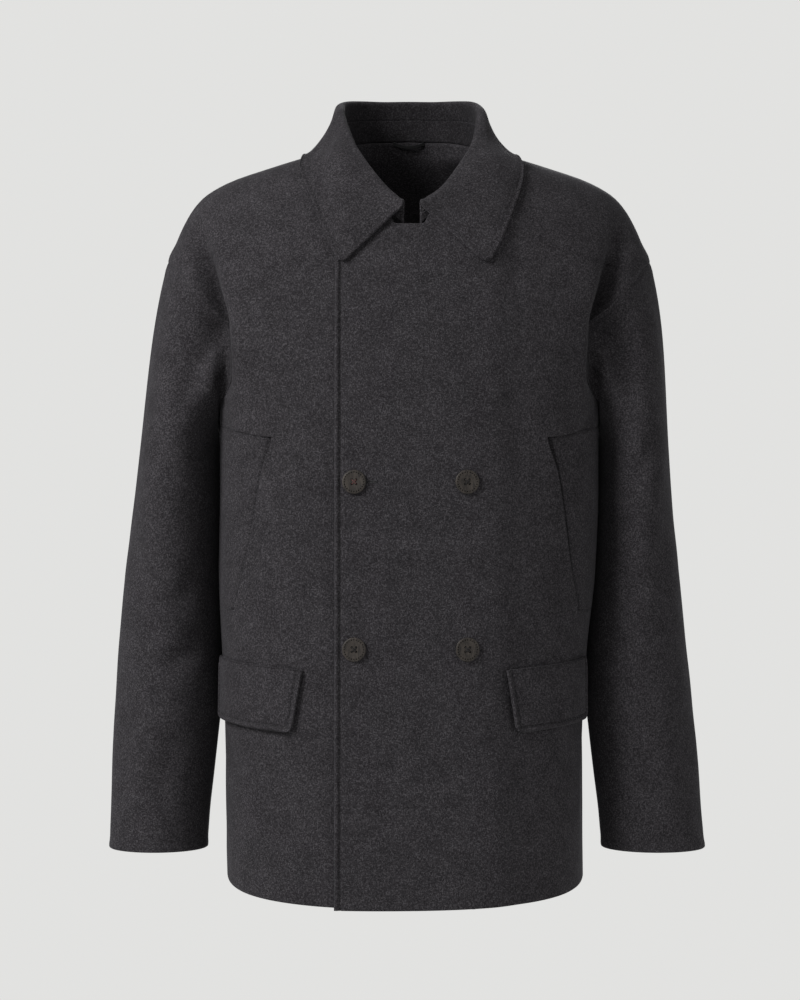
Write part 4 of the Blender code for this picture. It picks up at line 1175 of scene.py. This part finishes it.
def mix_colour(tree, factor, first, second):
    """The first colour, or the second where the factor is 1."""
    made = add(tree, "ShaderNodeMix", data_type="RGBA")
    colours = [s for s in made.inputs if s.type == "RGBA"]
    for socket, value in zip((made.inputs["Factor"], *colours), (factor, first, second)):
        feed(tree, socket, value)
    return next(s for s in made.outputs if s.type == "RGBA")


def scaled(tree, colour, value):
    """A colour made paler or darker by a value."""
    made = add(tree, "ShaderNodeVectorMath", operation="SCALE")
    link(tree, colour, made.inputs[0])
    link(tree, value, made.inputs["Scale"])
    return made.outputs["Vector"]


def stretched(tree, vector, scale, turn):
    """Coordinates stretched and turned, for hairs and streaks."""
    return made_with(tree, "ShaderNodeMapping",
                     {"Vector": vector, "Scale": scale, "Rotation": turn}).outputs["Vector"]


BLACK = (0, 0, 0, 1)
SURFACE = (("Color", "NodeSocketColor"), ("Roughness", "NodeSocketFloat"),
           ("Height", "NodeSocketFloat"))   # what every finish's group puts out


def new_group(name, inputs):
    """An empty shader group with its inputs by name, kind and default, and its surface."""
    tree = bpy.data.node_groups.new(name, "ShaderNodeTree")
    for socket_name, kind, default in inputs:
        socket = tree.interface.new_socket(name=socket_name, in_out="INPUT", socket_type=kind)
        socket.default_value = default
    for socket_name, kind in SURFACE:
        tree.interface.new_socket(name=socket_name, in_out="OUTPUT", socket_type=kind)
    return tree, add(tree, "NodeGroupInput"), add(tree, "NodeGroupOutput")


PRESS_AND_SHADE_DARKENS = 0.6         # how much of its tone the wool loses where it is fully pressed or in full painted shade


def heathered_wool_group(cloth):
    """Felted wool: dark and pale fibres mixed, a brushed nap and slow clouds of tone."""
    tree, given, result = new_group(
        "Heathered wool",
        (("Dark fibre", "NodeSocketColor", (*cloth.dark_fibre, 1)),
         ("Middle fibre", "NodeSocketColor", (*cloth.middle_fibre, 1)),
         ("Pale fibre", "NodeSocketColor", (*cloth.pale_fibre, 1)),
         ("Speck amount", "NodeSocketFloat", cloth.speck_amount)))
    place = add(tree, "ShaderNodeTexCoord").outputs["Object"]
    mottle = noise(tree, place, 560, 2, 0.6)
    grain = noise(tree, place, 1250, 2, 0.7)
    slant_a = stretched(tree, place, (1, 1, 0.36), (0.3, 0.2, 0.6))
    slant_b = stretched(tree, place, (0.40, 0.5, 1), (0.5, 0.9, 0.2))
    hairs_a = noise(tree, slant_a, 1150, 1, 0.5)
    hairs_b = noise(tree, slant_b, 1050, 1, 0.5)
    cloud = noise(tree, place, 46, 3, 0.55)
    tone = math_node(tree, "ADD", math_node(tree, "MULTIPLY", mottle, 0.6),
                     math_node(tree, "MULTIPLY", grain, 0.4))
    ground = mix_colour(tree, remap(tree, tone, 0.36, 0.64), given.outputs["Dark fibre"],
                        given.outputs["Middle fibre"])
    pale = math_node(tree, "MAXIMUM", remap(tree, hairs_a, 0.56, 0.68),
                     remap(tree, hairs_b, 0.57, 0.69))
    pale = math_node(tree, "MULTIPLY", pale, given.outputs["Speck amount"])
    fibres = mix_colour(tree, pale, ground, given.outputs["Pale fibre"])
    shaded = scaled(tree, fibres, remap(tree, cloud, 0.3, 0.7, 0.88, 1.10))
    # darken the colour where the cloth is pressed along stitching and where shade is painted
    # into valleys, gaps and the neck
    pressed = add(tree, "ShaderNodeAttribute", attribute_name="pressed").outputs["Fac"]
    press_and_shade_darkened = mix_colour(tree, math_node(tree, "MULTIPLY", pressed, PRESS_AND_SHADE_DARKENS), shaded,
                           BLACK)
    link(tree, press_and_shade_darkened, result.inputs["Color"])
    link(tree, remap(tree, grain, 0.3, 0.7, 0.86, 1.0), result.inputs["Roughness"])
    height = math_node(tree, "ADD", math_node(tree, "MULTIPLY", mottle, 0.9),
                       math_node(tree, "MULTIPLY", grain, 0.5))
    height = math_node(tree, "ADD", height, math_node(tree, "MULTIPLY", hairs_a, 0.5))
    link(tree, height, result.inputs["Height"])
    return tree


def horn_group(fittings):
    """Horn: smoky streaks, small pale flecks and fine turning marks."""
    tree, given, result = new_group(
        "Streaked horn",
        (("Dark horn", "NodeSocketColor", (*fittings.dark_horn, 1)),
         ("Pale horn", "NodeSocketColor", (*fittings.pale_horn, 1))))
    place = add(tree, "ShaderNodeTexCoord").outputs["Object"]
    streaks = noise(tree, stretched(tree, place, (1, 1, 0.25), (0, 0.7, 0.3)), 420, 4, 0.6, 0.8)
    flecks = noise(tree, place, 1700, 2, 0.6)
    tone = mix_colour(tree, remap(tree, streaks, 0.3, 0.72), given.outputs["Dark horn"],
                      given.outputs["Pale horn"])
    tone = mix_colour(tree, remap(tree, flecks, 0.66, 0.76, 0, 0.35), tone,
                      given.outputs["Pale horn"])
    link(tree, tone, result.inputs["Color"])
    link(tree, remap(tree, flecks, 0.3, 0.7, 0.50, 0.66), result.inputs["Roughness"])
    link(tree, math_node(tree, "ADD", streaks, flecks), result.inputs["Height"])
    return tree


def twisted_group(name, colour, lines, depth):
    """Spun thread or woven tape: even diagonal ribs over a slightly uneven colour."""
    tree, given, result = new_group(name, (("Yarn", "NodeSocketColor", (*colour, 1)),))
    place = add(tree, "ShaderNodeTexCoord").outputs["Object"]
    ribs = made_with(tree, "ShaderNodeTexWave",
                     {"Vector": place, "Scale": lines, "Distortion": 0.6},
                     wave_type="BANDS", bands_direction="DIAGONAL")
    uneven = noise(tree, place, 900, 2)
    shaded = scaled(tree, given.outputs["Yarn"], remap(tree, uneven, 0.3, 0.7, 0.75, 1.2))
    ribbed = mix_colour(tree, remap(tree, ribs.outputs["Fac"], 0.2, 0.9, depth, 0), shaded,
                        BLACK)
    link(tree, ribbed, result.inputs["Color"])
    link(tree, remap(tree, uneven, 0.2, 0.8, 0.6, 0.85), result.inputs["Roughness"])
    link(tree, ribs.outputs["Fac"], result.inputs["Height"])
    return tree


FINISHES = {}                 # materials by name, each made when it is first asked for


def finish_from(name, tree, bump_height, sheen=0.0, sheen_roughness=0.5,
                sheen_tint=(1, 1, 1), specular=0.5):
    """A material around one group."""
    made = bpy.data.materials.new(name)
    made.use_nodes = True
    nodes = made.node_tree
    shader = nodes.nodes["Principled BSDF"]
    group = add(nodes, "ShaderNodeGroup", node_tree=tree)
    relief = made_with(nodes, "ShaderNodeBump", {
        "Strength": 0.75, "Distance": bump_height, "Height": group.outputs["Height"]})
    for socket, value in (
            ("Base Color", group.outputs["Color"]), ("Roughness", group.outputs["Roughness"]),
            ("Normal", relief.outputs["Normal"]), ("Sheen Weight", sheen),
            ("Sheen Roughness", sheen_roughness), ("Sheen Tint", (*sheen_tint, 1)),
            ("Specular IOR Level", specular)):
        feed(nodes, shader.inputs[socket], value)
    return made


def finish(name):
    """The named finish."""
    if name not in FINISHES:
        FINISHES[name] = make_finish(name)
    return FINISHES[name]


def make_finish(name):
    """Wool, horn, tape or one of the three threads, from the scene's settings."""
    cloth, fittings = bpy.context.scene.coat_cloth, bpy.context.scene.coat_fittings
    if name == "wool":
        return finish_from("heathered wool", heathered_wool_group(cloth), cloth.nap_height,
                           cloth.sheen, 0.42, (0.80, 0.80, 0.85), 0.06)
    if name == "horn":
        return finish_from("streaked horn", horn_group(fittings), 0.00006, specular=0.32)
    if name == "tape":
        tape = twisted_group("Woven tape", fittings.tape_colour, 420, 0.5)
        return finish_from("woven tape", tape, 0.00012, 0.05, specular=0.3)
    colour = {"button_thread": fittings.thread_colour,
              "red_thread": fittings.odd_thread_colour,
              "edge_thread": fittings.edge_thread_colour}[name]
    yarn = twisted_group(name + " yarn", colour, 900, 0.45)
    return finish_from(name, yarn, 0.00006, 0.1, specular=0.3)


# Stitches

STITCHED_EDGES = ("left_front_cloth", "leaf_cloth", "left_flap_cloth", "right_flap_cloth")
STITCH_SHARE = 0.6            # a stitch's length as a share of the spacing
STITCH_THICKNESS = 0.0007
BUTTONHOLE_X = (-0.0440, -0.0325)
BUTTONHOLE_HALF = 0.0007      # from its slit to the middle of each worked side
BUTTONHOLE_STITCH = (0.0007, 0.0008, 0.0011)   # spacing, length and thickness
BUTTONHOLE_LIFT = 0.0001      # off the cloth
STITCH_VARIATION = (0.85, 1.15)


def stitch_row_group():
    """Short stitches laid end to end along curves."""
    tree = bpy.data.node_groups.new("Stitch row", "GeometryNodeTree")
    tree.interface.new_socket(name="Rows", in_out="INPUT", socket_type="NodeSocketGeometry")
    for name, kind, default in (("Spacing", "NodeSocketFloat", 0.004),
                                ("Length", "NodeSocketFloat", 0.002),
                                ("Thickness", "NodeSocketFloat", 0.0003),
                                ("Seed", "NodeSocketInt", 3)):
        socket = tree.interface.new_socket(name=name, in_out="INPUT", socket_type=kind)
        socket.default_value = default
    tree.interface.new_socket(name="Finish", in_out="INPUT", socket_type="NodeSocketMaterial")
    tree.interface.new_socket(name="Stitches", in_out="OUTPUT",
                              socket_type="NodeSocketGeometry")
    given, result = add(tree, "NodeGroupInput"), add(tree, "NodeGroupOutput")
    to_curve = made_with(tree, "GeometryNodeMeshToCurve", {"Mesh": given.outputs["Rows"]})
    points = made_with(tree, "GeometryNodeCurveToPoints", {
        "Curve": to_curve.outputs["Curve"], "Length": given.outputs["Spacing"]}, mode="LENGTH")
    bead = made_with(tree, "GeometryNodeMeshUVSphere",
                     {"Segments": 6, "Rings": 5, "Radius": 0.5})
    align = made_with(tree, "FunctionNodeAlignRotationToVector",
                      {"Vector": points.outputs["Tangent"]}, axis="Z")
    uneven = add(tree, "FunctionNodeRandomValue", data_type="FLOAT")
    low, high = [s for s in uneven.inputs if s.enabled and s.type == "VALUE"][:2]
    low.default_value, high.default_value = STITCH_VARIATION
    link(tree, given.outputs["Seed"], uneven.inputs["Seed"])
    length = math_node(tree, "MULTIPLY", given.outputs["Length"],
                       next(s for s in uneven.outputs if s.enabled))
    size = made_with(tree, "ShaderNodeCombineXYZ", {
        "X": given.outputs["Thickness"], "Y": given.outputs["Thickness"], "Z": length})
    place = made_with(tree, "GeometryNodeInstanceOnPoints", {
        "Points": points.outputs["Points"], "Instance": bead.outputs["Mesh"],
        "Rotation": align.outputs["Rotation"], "Scale": size.outputs["Vector"]})
    real = made_with(tree, "GeometryNodeRealizeInstances",
                     {"Geometry": place.outputs["Instances"]})
    dressed = made_with(tree, "GeometryNodeSetMaterial", {
        "Geometry": real.outputs["Geometry"], "Material": given.outputs["Finish"]})
    link(tree, dressed.outputs["Geometry"], result.inputs["Stitches"])
    return tree


def stitched(name, lines, spacing, length, thickness, material):
    """One mesh of stitches along lines of points."""
    data = bpy.data.meshes.new(name)
    vertices, edges = [], []
    for line in lines:
        start = len(vertices)
        vertices += [tuple(p) for p in line]
        edges += [(start + i, start + i + 1) for i in range(len(line) - 1)]
    data.from_pydata(vertices, edges, [])
    rows = put(name, data)
    tree = bpy.data.node_groups.get("Stitch row") or stitch_row_group()
    rig = rows.modifiers.new("stitches", "NODES")
    rig.node_group = tree
    values = {"Spacing": spacing, "Length": length, "Thickness": thickness, "Seed": 3,
              "Finish": material}
    for item in tree.interface.items_tree:
        if item.in_out == "INPUT" and item.name in values:
            rig[item.identifier] = values[item.name]
    graph = bpy.context.evaluated_depsgraph_get()
    made = bpy.data.meshes.new_from_object(rows.evaluated_get(graph))
    bpy.data.objects.remove(rows)
    if made.materials[0] is None:      # the bead's own empty slot
        made.materials.pop(index=0)
    made.shade_smooth()
    return put(name, made)


# Folds: path of degrees round the piece and height, width and depth

FRONT_LEFT_FOLDS = (
    (((74, -0.262), (64, -0.292), (52, -0.330)), 0.010, 0.0030),
    (((80, -0.300), (70, -0.345), (60, -0.372)), 0.012, 0.0022),
    (((84, -0.235), (72, -0.205), (62, -0.165)), 0.011, 0.0022),
    (((86, -0.560), (78, -0.640), (75, -0.735)), 0.016, 0.0016),
    (((30, -0.150), (34, -0.260), (31, -0.420)), 0.030, 0.0010),
    (((46, -0.480), (40, -0.600), (43, -0.730)), 0.026, 0.0012),
    (((12, -0.560), (16, -0.650), (14, -0.745)), 0.028, 0.0009),
)
FRONT_RIGHT_FOLDS = (
    (((-75, -0.266), (-66, -0.300), (-55, -0.326)), 0.010, 0.0026),
    (((-82, -0.310), (-73, -0.340), (-66, -0.390)), 0.013, 0.0018),
    (((-85, -0.238), (-74, -0.200), (-66, -0.158)), 0.012, 0.0020),
    (((-84, -0.590), (-79, -0.660), (-80, -0.730)), 0.015, 0.0014),
    (((-36, -0.140), (-40, -0.230), (-37, -0.330)), 0.026, 0.0009),
    (((-44, -0.600), (-40, -0.680), (-42, -0.745)), 0.024, 0.0010),
)
BACK_LEFT_FOLDS = (
    (((101, -0.262), (114, -0.298), (130, -0.330)), 0.012, 0.0042),
    (((97, -0.300), (108, -0.352), (121, -0.392)), 0.013, 0.0034),
    (((104, -0.225), (118, -0.190), (128, -0.150)), 0.013, 0.0036),
    (((112, -0.170), (122, -0.130), (126, -0.085)), 0.012, 0.0022),
    (((146, -0.060), (152, -0.130), (149, -0.220)), 0.022, 0.0018),
    (((139, -0.430), (143, -0.560), (139, -0.735)), 0.024, 0.0030),
    (((163, -0.380), (160, -0.520), (164, -0.700)), 0.026, 0.0022),
    (((108, -0.500), (111, -0.610), (107, -0.720)), 0.018, 0.0026),
)
BACK_RIGHT_FOLDS = (
    (((-100, -0.268), (-112, -0.306), (-125, -0.322)), 0.012, 0.0040),
    (((-96, -0.292), (-110, -0.342), (-127, -0.376)), 0.014, 0.0030),
    (((-105, -0.232), (-116, -0.188), (-124, -0.142)), 0.012, 0.0038),
    (((-143, -0.070), (-148, -0.150), (-146, -0.205)), 0.024, 0.0016),
    (((-141, -0.460), (-137, -0.590), (-142, -0.740)), 0.025, 0.0028),
    (((-166, -0.300), (-163, -0.430), (-168, -0.560)), 0.028, 0.0018),
    (((-113, -0.540), (-108, -0.640), (-112, -0.735)), 0.019, 0.0024),
)
# Round the sleeve: 0 outside, 90 front, 180 inside, 270 behind
SLEEVE_LEFT_FOLDS = (
    (((60, -0.170), (92, -0.230), (118, -0.268)), 0.013, 0.0030),
    (((52, -0.265), (84, -0.322), (120, -0.345)), 0.014, 0.0026),
    (((300, -0.190), (262, -0.248), (232, -0.278)), 0.013, 0.0040),
    (((318, -0.270), (276, -0.320), (238, -0.338)), 0.015, 0.0036),
    (((34, -0.360), (62, -0.420), (66, -0.520)), 0.017, 0.0024),
    (((128, -0.420), (104, -0.452), (72, -0.448)), 0.012, 0.0030),
    (((146, -0.478), (116, -0.505), (88, -0.520)), 0.012, 0.0028),
    (((206, -0.448), (236, -0.480), (262, -0.470)), 0.012, 0.0034),
    (((196, -0.520), (232, -0.548), (266, -0.562)), 0.013, 0.0030),
    (((20, -0.560), (44, -0.610), (40, -0.690)), 0.018, 0.0020),
    (((110, -0.590), (90, -0.640), (96, -0.700)), 0.016, 0.0018),
    (((330, -0.420), (318, -0.520), (324, -0.640)), 0.018, 0.0022),
    (((256, -0.620), (276, -0.660), (272, -0.712)), 0.015, 0.0020),
)
SLEEVE_RIGHT_FOLDS = (
    (((58, -0.178), (88, -0.236), (112, -0.262)), 0.013, 0.0028),
    (((48, -0.282), (80, -0.330), (116, -0.352)), 0.014, 0.0026),
    (((304, -0.184), (266, -0.240), (236, -0.272)), 0.013, 0.0038),
    (((314, -0.282), (272, -0.330), (236, -0.350)), 0.014, 0.0034),
    (((30, -0.380), (54, -0.440), (58, -0.500)), 0.016, 0.0022),
    (((132, -0.436), (106, -0.462), (78, -0.456)), 0.012, 0.0028),
    (((142, -0.500), (112, -0.520), (80, -0.538)), 0.012, 0.0030),
    (((204, -0.462), (238, -0.488), (260, -0.484)), 0.012, 0.0032),
    (((200, -0.530), (230, -0.560), (258, -0.566)), 0.013, 0.0028),
    (((24, -0.540), (50, -0.600), (46, -0.670)), 0.018, 0.0022),
    (((114, -0.600), (92, -0.655), (98, -0.705)), 0.015, 0.0016),
    (((334, -0.400), (322, -0.500), (328, -0.600)), 0.018, 0.0022),
)


def settle(piece, node, slot):
    """A piece that stands for a node, in the slot's finish and on its body."""
    piece.data.materials.clear()
    piece.data.materials.append(finish(slot))
    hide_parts(node)
    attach(piece, "root")


def settle_thread(piece):
    """Thread that is sewn on beside the pieces of the solids."""
    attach(piece, "root")


def cloth_piece(piece, node):
    """A piece of wool that stands for a node."""
    settle(piece, node, "wool")


# Settings

class CoatCloth(bpy.types.PropertyGroup):
    """The wool."""
    dark_fibre: bpy.props.FloatVectorProperty(
        name="Dark fibre", description="Colour of the darkest wool", subtype="COLOR",
        size=3, min=0, max=1, default=(0.0152, 0.0140, 0.0156))
    middle_fibre: bpy.props.FloatVectorProperty(
        name="Middle fibre", description="Colour of most of the wool", subtype="COLOR",
        size=3, min=0, max=1, default=(0.0334, 0.0310, 0.0342))
    pale_fibre: bpy.props.FloatVectorProperty(
        name="Pale fibre", description="Colour of the pale hairs mixed in", subtype="COLOR",
        size=3, min=0, max=1, default=(0.086, 0.0815, 0.088))
    speck_amount: bpy.props.FloatProperty(
        name="Pale hairs", description="How strongly the pale hairs show", subtype="FACTOR",
        min=0, max=1, default=0.60)
    nap_height: bpy.props.FloatProperty(
        name="Nap height", description="Depth of the brushed surface", subtype="DISTANCE",
        unit="LENGTH", min=0, max=0.002, precision=5, default=0.00012)
    sheen: bpy.props.FloatProperty(
        name="Bloom", description="Soft light on the nap at a grazing angle",
        subtype="FACTOR", min=0, max=1, default=0.07)


class CoatFittings(bpy.types.PropertyGroup):
    """Buttons, thread and tape."""
    dark_horn: bpy.props.FloatVectorProperty(
        name="Dark horn", description="Darker streaks of the buttons", subtype="COLOR",
        size=3, min=0, max=1, default=(0.014, 0.0115, 0.0100))
    pale_horn: bpy.props.FloatVectorProperty(
        name="Pale horn", description="Paler streaks of the buttons", subtype="COLOR",
        size=3, min=0, max=1, default=(0.046, 0.038, 0.032))
    thread_colour: bpy.props.FloatVectorProperty(
        name="Button thread", description="Thread that holds the buttons", subtype="COLOR",
        size=3, min=0, max=1, default=(0.012, 0.010, 0.010))
    odd_thread_colour: bpy.props.FloatVectorProperty(
        name="First button's thread", description="Red-brown thread of the first button",
        subtype="COLOR", size=3, min=0, max=1, default=(0.120, 0.050, 0.046))
    edge_thread_colour: bpy.props.FloatVectorProperty(
        name="Edge thread", description="Thread along the turned edges", subtype="COLOR",
        size=3, min=0, max=1, default=(0.020, 0.019, 0.021))
    tape_colour: bpy.props.FloatVectorProperty(
        name="Tape", description="Hanger loop's tape", subtype="COLOR",
        size=3, min=0, max=1, default=(0.010, 0.010, 0.011))
    stitch_spacing: bpy.props.FloatProperty(
        name="Stitch spacing", description="From one edge stitch to the next",
        subtype="DISTANCE", unit="LENGTH", min=0.001, max=0.02, precision=4, default=0.0046)


class CoatStudio(bpy.types.PropertyGroup):
    """Backdrop and lights."""
    backdrop: bpy.props.FloatProperty(
        name="Backdrop", description="Brightness of floor and backdrop", min=0, max=2,
        default=0.76)
    room_light: bpy.props.FloatProperty(
        name="Room light", description="Even light from all round", min=0, max=2,
        default=0.32)
    key_power: bpy.props.FloatProperty(
        name="Key light", description="Large light from the wearer's right",
        subtype="POWER", unit="POWER", min=0, max=500, default=80)
    fill_power: bpy.props.FloatProperty(
        name="Fill light", description="Soft light from the other side",
        subtype="POWER", unit="POWER", min=0, max=500, default=12)
    rear_power: bpy.props.FloatProperty(
        name="Rear light", description="Light on the coat's back",
        subtype="POWER", unit="POWER", min=0, max=500, default=70)


# Operators

class COAT_OT_fronts(bpy.types.Operator):
    """Sew the two fronts, which lap over each other."""
    bl_idname = "coat.fronts"
    bl_label = "Fronts"

    def execute(self, context):
        cloth_piece(front("left_front_cloth", 1, FREE_EDGE_X, True, FRONT_LEFT_FOLDS),
                    "front_left")
        cloth_piece(front("right_front_cloth", -1, UNDER_EDGE_X, False, FRONT_RIGHT_FOLDS),
                    "front_right")
        return {"FINISHED"}


class COAT_OT_backs(bpy.types.Operator):
    """Sew the two halves of the back."""
    bl_idname = "coat.backs"
    bl_label = "Backs"

    def execute(self, context):
        cloth_piece(back("left_back_cloth", 1, BACK_LEFT_FOLDS), "back_left")
        cloth_piece(back("right_back_cloth", -1, BACK_RIGHT_FOLDS), "back_right")
        return {"FINISHED"}


class COAT_OT_hand_pockets(bpy.types.Operator):
    """Set in the cloth under the slanted pocket mouths."""
    bl_idname = "coat.hand_pockets"
    bl_label = "Hand pockets"

    def execute(self, context):
        cloth_piece(hand_pocket("left_hand_pocket_cloth", 1, FREE_EDGE_X, True),
                    "hand_pocket_left")
        cloth_piece(hand_pocket("right_hand_pocket_cloth", -1, UNDER_EDGE_X, False),
                    "hand_pocket_right")
        return {"FINISHED"}


class COAT_OT_sleeves(bpy.types.Operator):
    """Set in the sleeves."""
    bl_idname = "coat.sleeves"
    bl_label = "Sleeves"

    def execute(self, context):
        cloth_piece(sleeve("left_sleeve_cloth", 1, SLEEVE_LEFT_FOLDS), "sleeve_left")
        cloth_piece(sleeve("right_sleeve_cloth", -1, SLEEVE_RIGHT_FOLDS), "sleeve_right")
        return {"FINISHED"}


class COAT_OT_collar(bpy.types.Operator):
    """Put on the collar: its stand and its leaf."""
    bl_idname = "coat.collar"
    bl_label = "Collar"

    def execute(self, context):
        cloth_piece(collar_piece("stand_cloth", STAND_LINES, [5, 5], 0), "collar_stand")
        steps = [7, 5, 5, 5, 5, 5, 5, 8]
        cloth_piece(collar_piece("leaf_cloth", LEAF_LINES, steps, LEAF_CORNER), "collar_leaf")
        return {"FINISHED"}


class COAT_OT_flaps(bpy.types.Operator):
    """Sew on the two pocket flaps."""
    bl_idname = "coat.flaps"
    bl_label = "Pocket flaps"

    def execute(self, context):
        cloth_piece(flap("left_flap_cloth", 1), "pocket_flap_left")
        cloth_piece(flap("right_flap_cloth", -1), "pocket_flap_right")
        return {"FINISHED"}


class COAT_OT_stitches(bpy.types.Operator):
    """Run the stitching along the turned edges, and work the first buttonhole."""
    bl_idname = "coat.stitches"
    bl_label = "Stitching"

    def execute(self, context):
        spacing = context.scene.coat_fittings.stitch_spacing
        thread = finish("edge_thread")
        for name in STITCHED_EDGES:
            settle_thread(stitched(name.replace("cloth", "stitches"), STITCH_LINES[name],
                                   spacing, spacing * STITCH_SHARE, STITCH_THICKNESS, thread))
        x = np.linspace(*BUTTONHOLE_X, 12)
        z = np.full(x.shape, BUTTON_Z[0])
        rows = [body_point(angle_at(x, z + drop), z + drop, LAP_OFFSET + BUTTONHOLE_LIFT)
                for drop in (-BUTTONHOLE_HALF, BUTTONHOLE_HALF)]
        settle_thread(stitched("buttonhole_stitches", rows, *BUTTONHOLE_STITCH, thread))
        return {"FINISHED"}


class COAT_OT_buttons(bpy.types.Operator):
    """Sew on the four buttons with crossed thread."""
    bl_idname = "coat.buttons"
    bl_label = "Buttons"

    def execute(self, context):
        disc, thread = button_data(), thread_data()
        places = [(x, z) for z in BUTTON_Z for x in BUTTON_X]
        for number, (x, z) in enumerate(places, 1):
            matrix = button_place(x, z)
            data = disc.copy()
            data.transform(matrix)
            settle(put(f"horn_button_{number}", data), f"button_{number}", "horn")
            data = thread.data.copy()
            data.transform(matrix)
            data.materials.append(finish("red_thread" if number == 1 else "button_thread"))
            settle_thread(put(f"button_thread_{number}", data))
        bpy.data.objects.remove(thread)
        return {"FINISHED"}


class COAT_OT_hanger(bpy.types.Operator):
    """Hang the loop inside the neck."""
    bl_idname = "coat.hanger"
    bl_label = "Hanger loop"

    def execute(self, context):
        settle(hanger_loop("hanger_tape"), "hanger_loop", "tape")
        return {"FINISHED"}


PALE = (1.0, 1.0, 0.985, 1)
FLOOR_Z, FLOOR_RADIUS = -1.02, 1.6
LIGHTS = {                    # place and diameter
    "key": ((-2.0, -1.45, 1.05), 1.3), "fill": ((2.4, -1.8, 0.4), 1.8),
    "rear": ((0.3, 2.7, 0.7), 1.6),
}
LIT_POINT = (0, 0, -0.36)     # where the lights aim
CAMERA_PLACE = (-0.0095, -2.4, -0.3604)
CAMERA_LENS = (81.5, 36)      # focal length and sensor width, mm


class COAT_OT_studio(bpy.types.Operator):
    """Set up the backdrop, the lights and the camera."""
    bl_idname = "coat.studio"
    bl_label = "Studio"

    def execute(self, context):
        studio = context.scene.coat_studio
        world = bpy.data.worlds.new("pale studio")
        world.use_nodes = True
        context.scene.view_settings.view_transform = "Standard"
        tree = world.node_tree
        ground = tree.nodes["Background"]
        ground.inputs["Color"].default_value = PALE
        seen = add(tree, "ShaderNodeLightPath").outputs["Is Camera Ray"]
        link(tree, remap(tree, seen, 0, 1, studio.room_light, studio.backdrop),
             ground.inputs["Strength"])
        context.scene.world = world
        floor()
        for name, (place, size) in LIGHTS.items():
            area_light(name, place, size, getattr(studio, name + "_power"))
        camera = bpy.data.cameras.new("camera")
        camera.lens, camera.sensor_width = CAMERA_LENS
        holder = put("camera", camera)
        holder.location = CAMERA_PLACE
        holder.rotation_euler = (math.radians(90), 0, 0)
        context.scene.camera = holder
        return {"FINISHED"}


def floor():
    """A round pale floor, evenly lit, below the hem."""
    mesh = bmesh.new()
    bmesh.ops.create_circle(mesh, cap_ends=True, segments=96, radius=FLOOR_RADIUS,
                            matrix=Matrix.Translation((0, 0, FLOOR_Z)))
    piece = from_bmesh("studio_floor", mesh)
    pale = bpy.data.materials.new("pale floor")
    pale.use_nodes = True
    shader = pale.node_tree.nodes["Principled BSDF"]
    for socket, value in (
            ("Base Color", BLACK), ("Roughness", 1), ("Specular IOR Level", 0),
            ("Emission Color", PALE),
            ("Emission Strength", bpy.context.scene.coat_studio.backdrop)):
        shader.inputs[socket].default_value = value
    piece.data.materials.append(pale)


def area_light(name, place, size, power):
    """A round soft light that aims at the coat's middle."""
    light = bpy.data.lights.new(name, "AREA")
    light.shape, light.size, light.energy = "DISK", size, power
    holder = put(name, light)
    holder.location = place
    aim = Vector(LIT_POINT) - Vector(place)
    holder.rotation_euler = aim.to_track_quat("-Z", "Y").to_euler()


class COAT_PT_panel(bpy.types.Panel):
    """The steps that dress the coat, and their settings."""
    bl_idname = "COAT_PT_panel"
    bl_label = "Pea coat"
    bl_space_type = "VIEW_3D"
    bl_region_type = "UI"
    bl_category = "Coat"

    def draw(self, context):
        for group in ("coat_cloth", "coat_fittings", "coat_studio"):
            settings = getattr(context.scene, group)
            box = self.layout.box()
            for name in settings.bl_rna.properties.keys():
                if name not in ("rna_type", "name"):
                    box.prop(settings, name)
        for operator in OPERATORS:
            self.layout.operator(operator.bl_idname)


SETTINGS = {"coat_cloth": CoatCloth, "coat_fittings": CoatFittings,
            "coat_studio": CoatStudio}
OPERATORS = (COAT_OT_studio, COAT_OT_fronts, COAT_OT_backs, COAT_OT_hand_pockets,
             COAT_OT_sleeves, COAT_OT_collar, COAT_OT_flaps, COAT_OT_stitches,
             COAT_OT_buttons, COAT_OT_hanger)


def register():
    """Add the settings, the operators and the panel."""
    for cls in (*SETTINGS.values(), *OPERATORS, COAT_PT_panel):
        bpy.utils.register_class(cls)
    for name, cls in SETTINGS.items():
        setattr(bpy.types.Scene, name, bpy.props.PointerProperty(type=cls))


def unregister():
    """Take them away again."""
    for name in SETTINGS:
        delattr(bpy.types.Scene, name)
    for cls in (COAT_PT_panel, *OPERATORS[::-1], *SETTINGS.values()):
        bpy.utils.unregister_class(cls)


def main():
    """Dress the coat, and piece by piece."""
    register()
    bpy.ops.coat.studio()
    bpy.ops.coat.fronts()
    bpy.ops.coat.backs()
    bpy.ops.coat.hand_pockets()
    bpy.ops.coat.sleeves()
    bpy.ops.coat.collar()
    bpy.ops.coat.flaps()
    bpy.ops.coat.stitches()
    bpy.ops.coat.buttons()
    bpy.ops.coat.hanger()


if __name__ == "__main__":
    main()
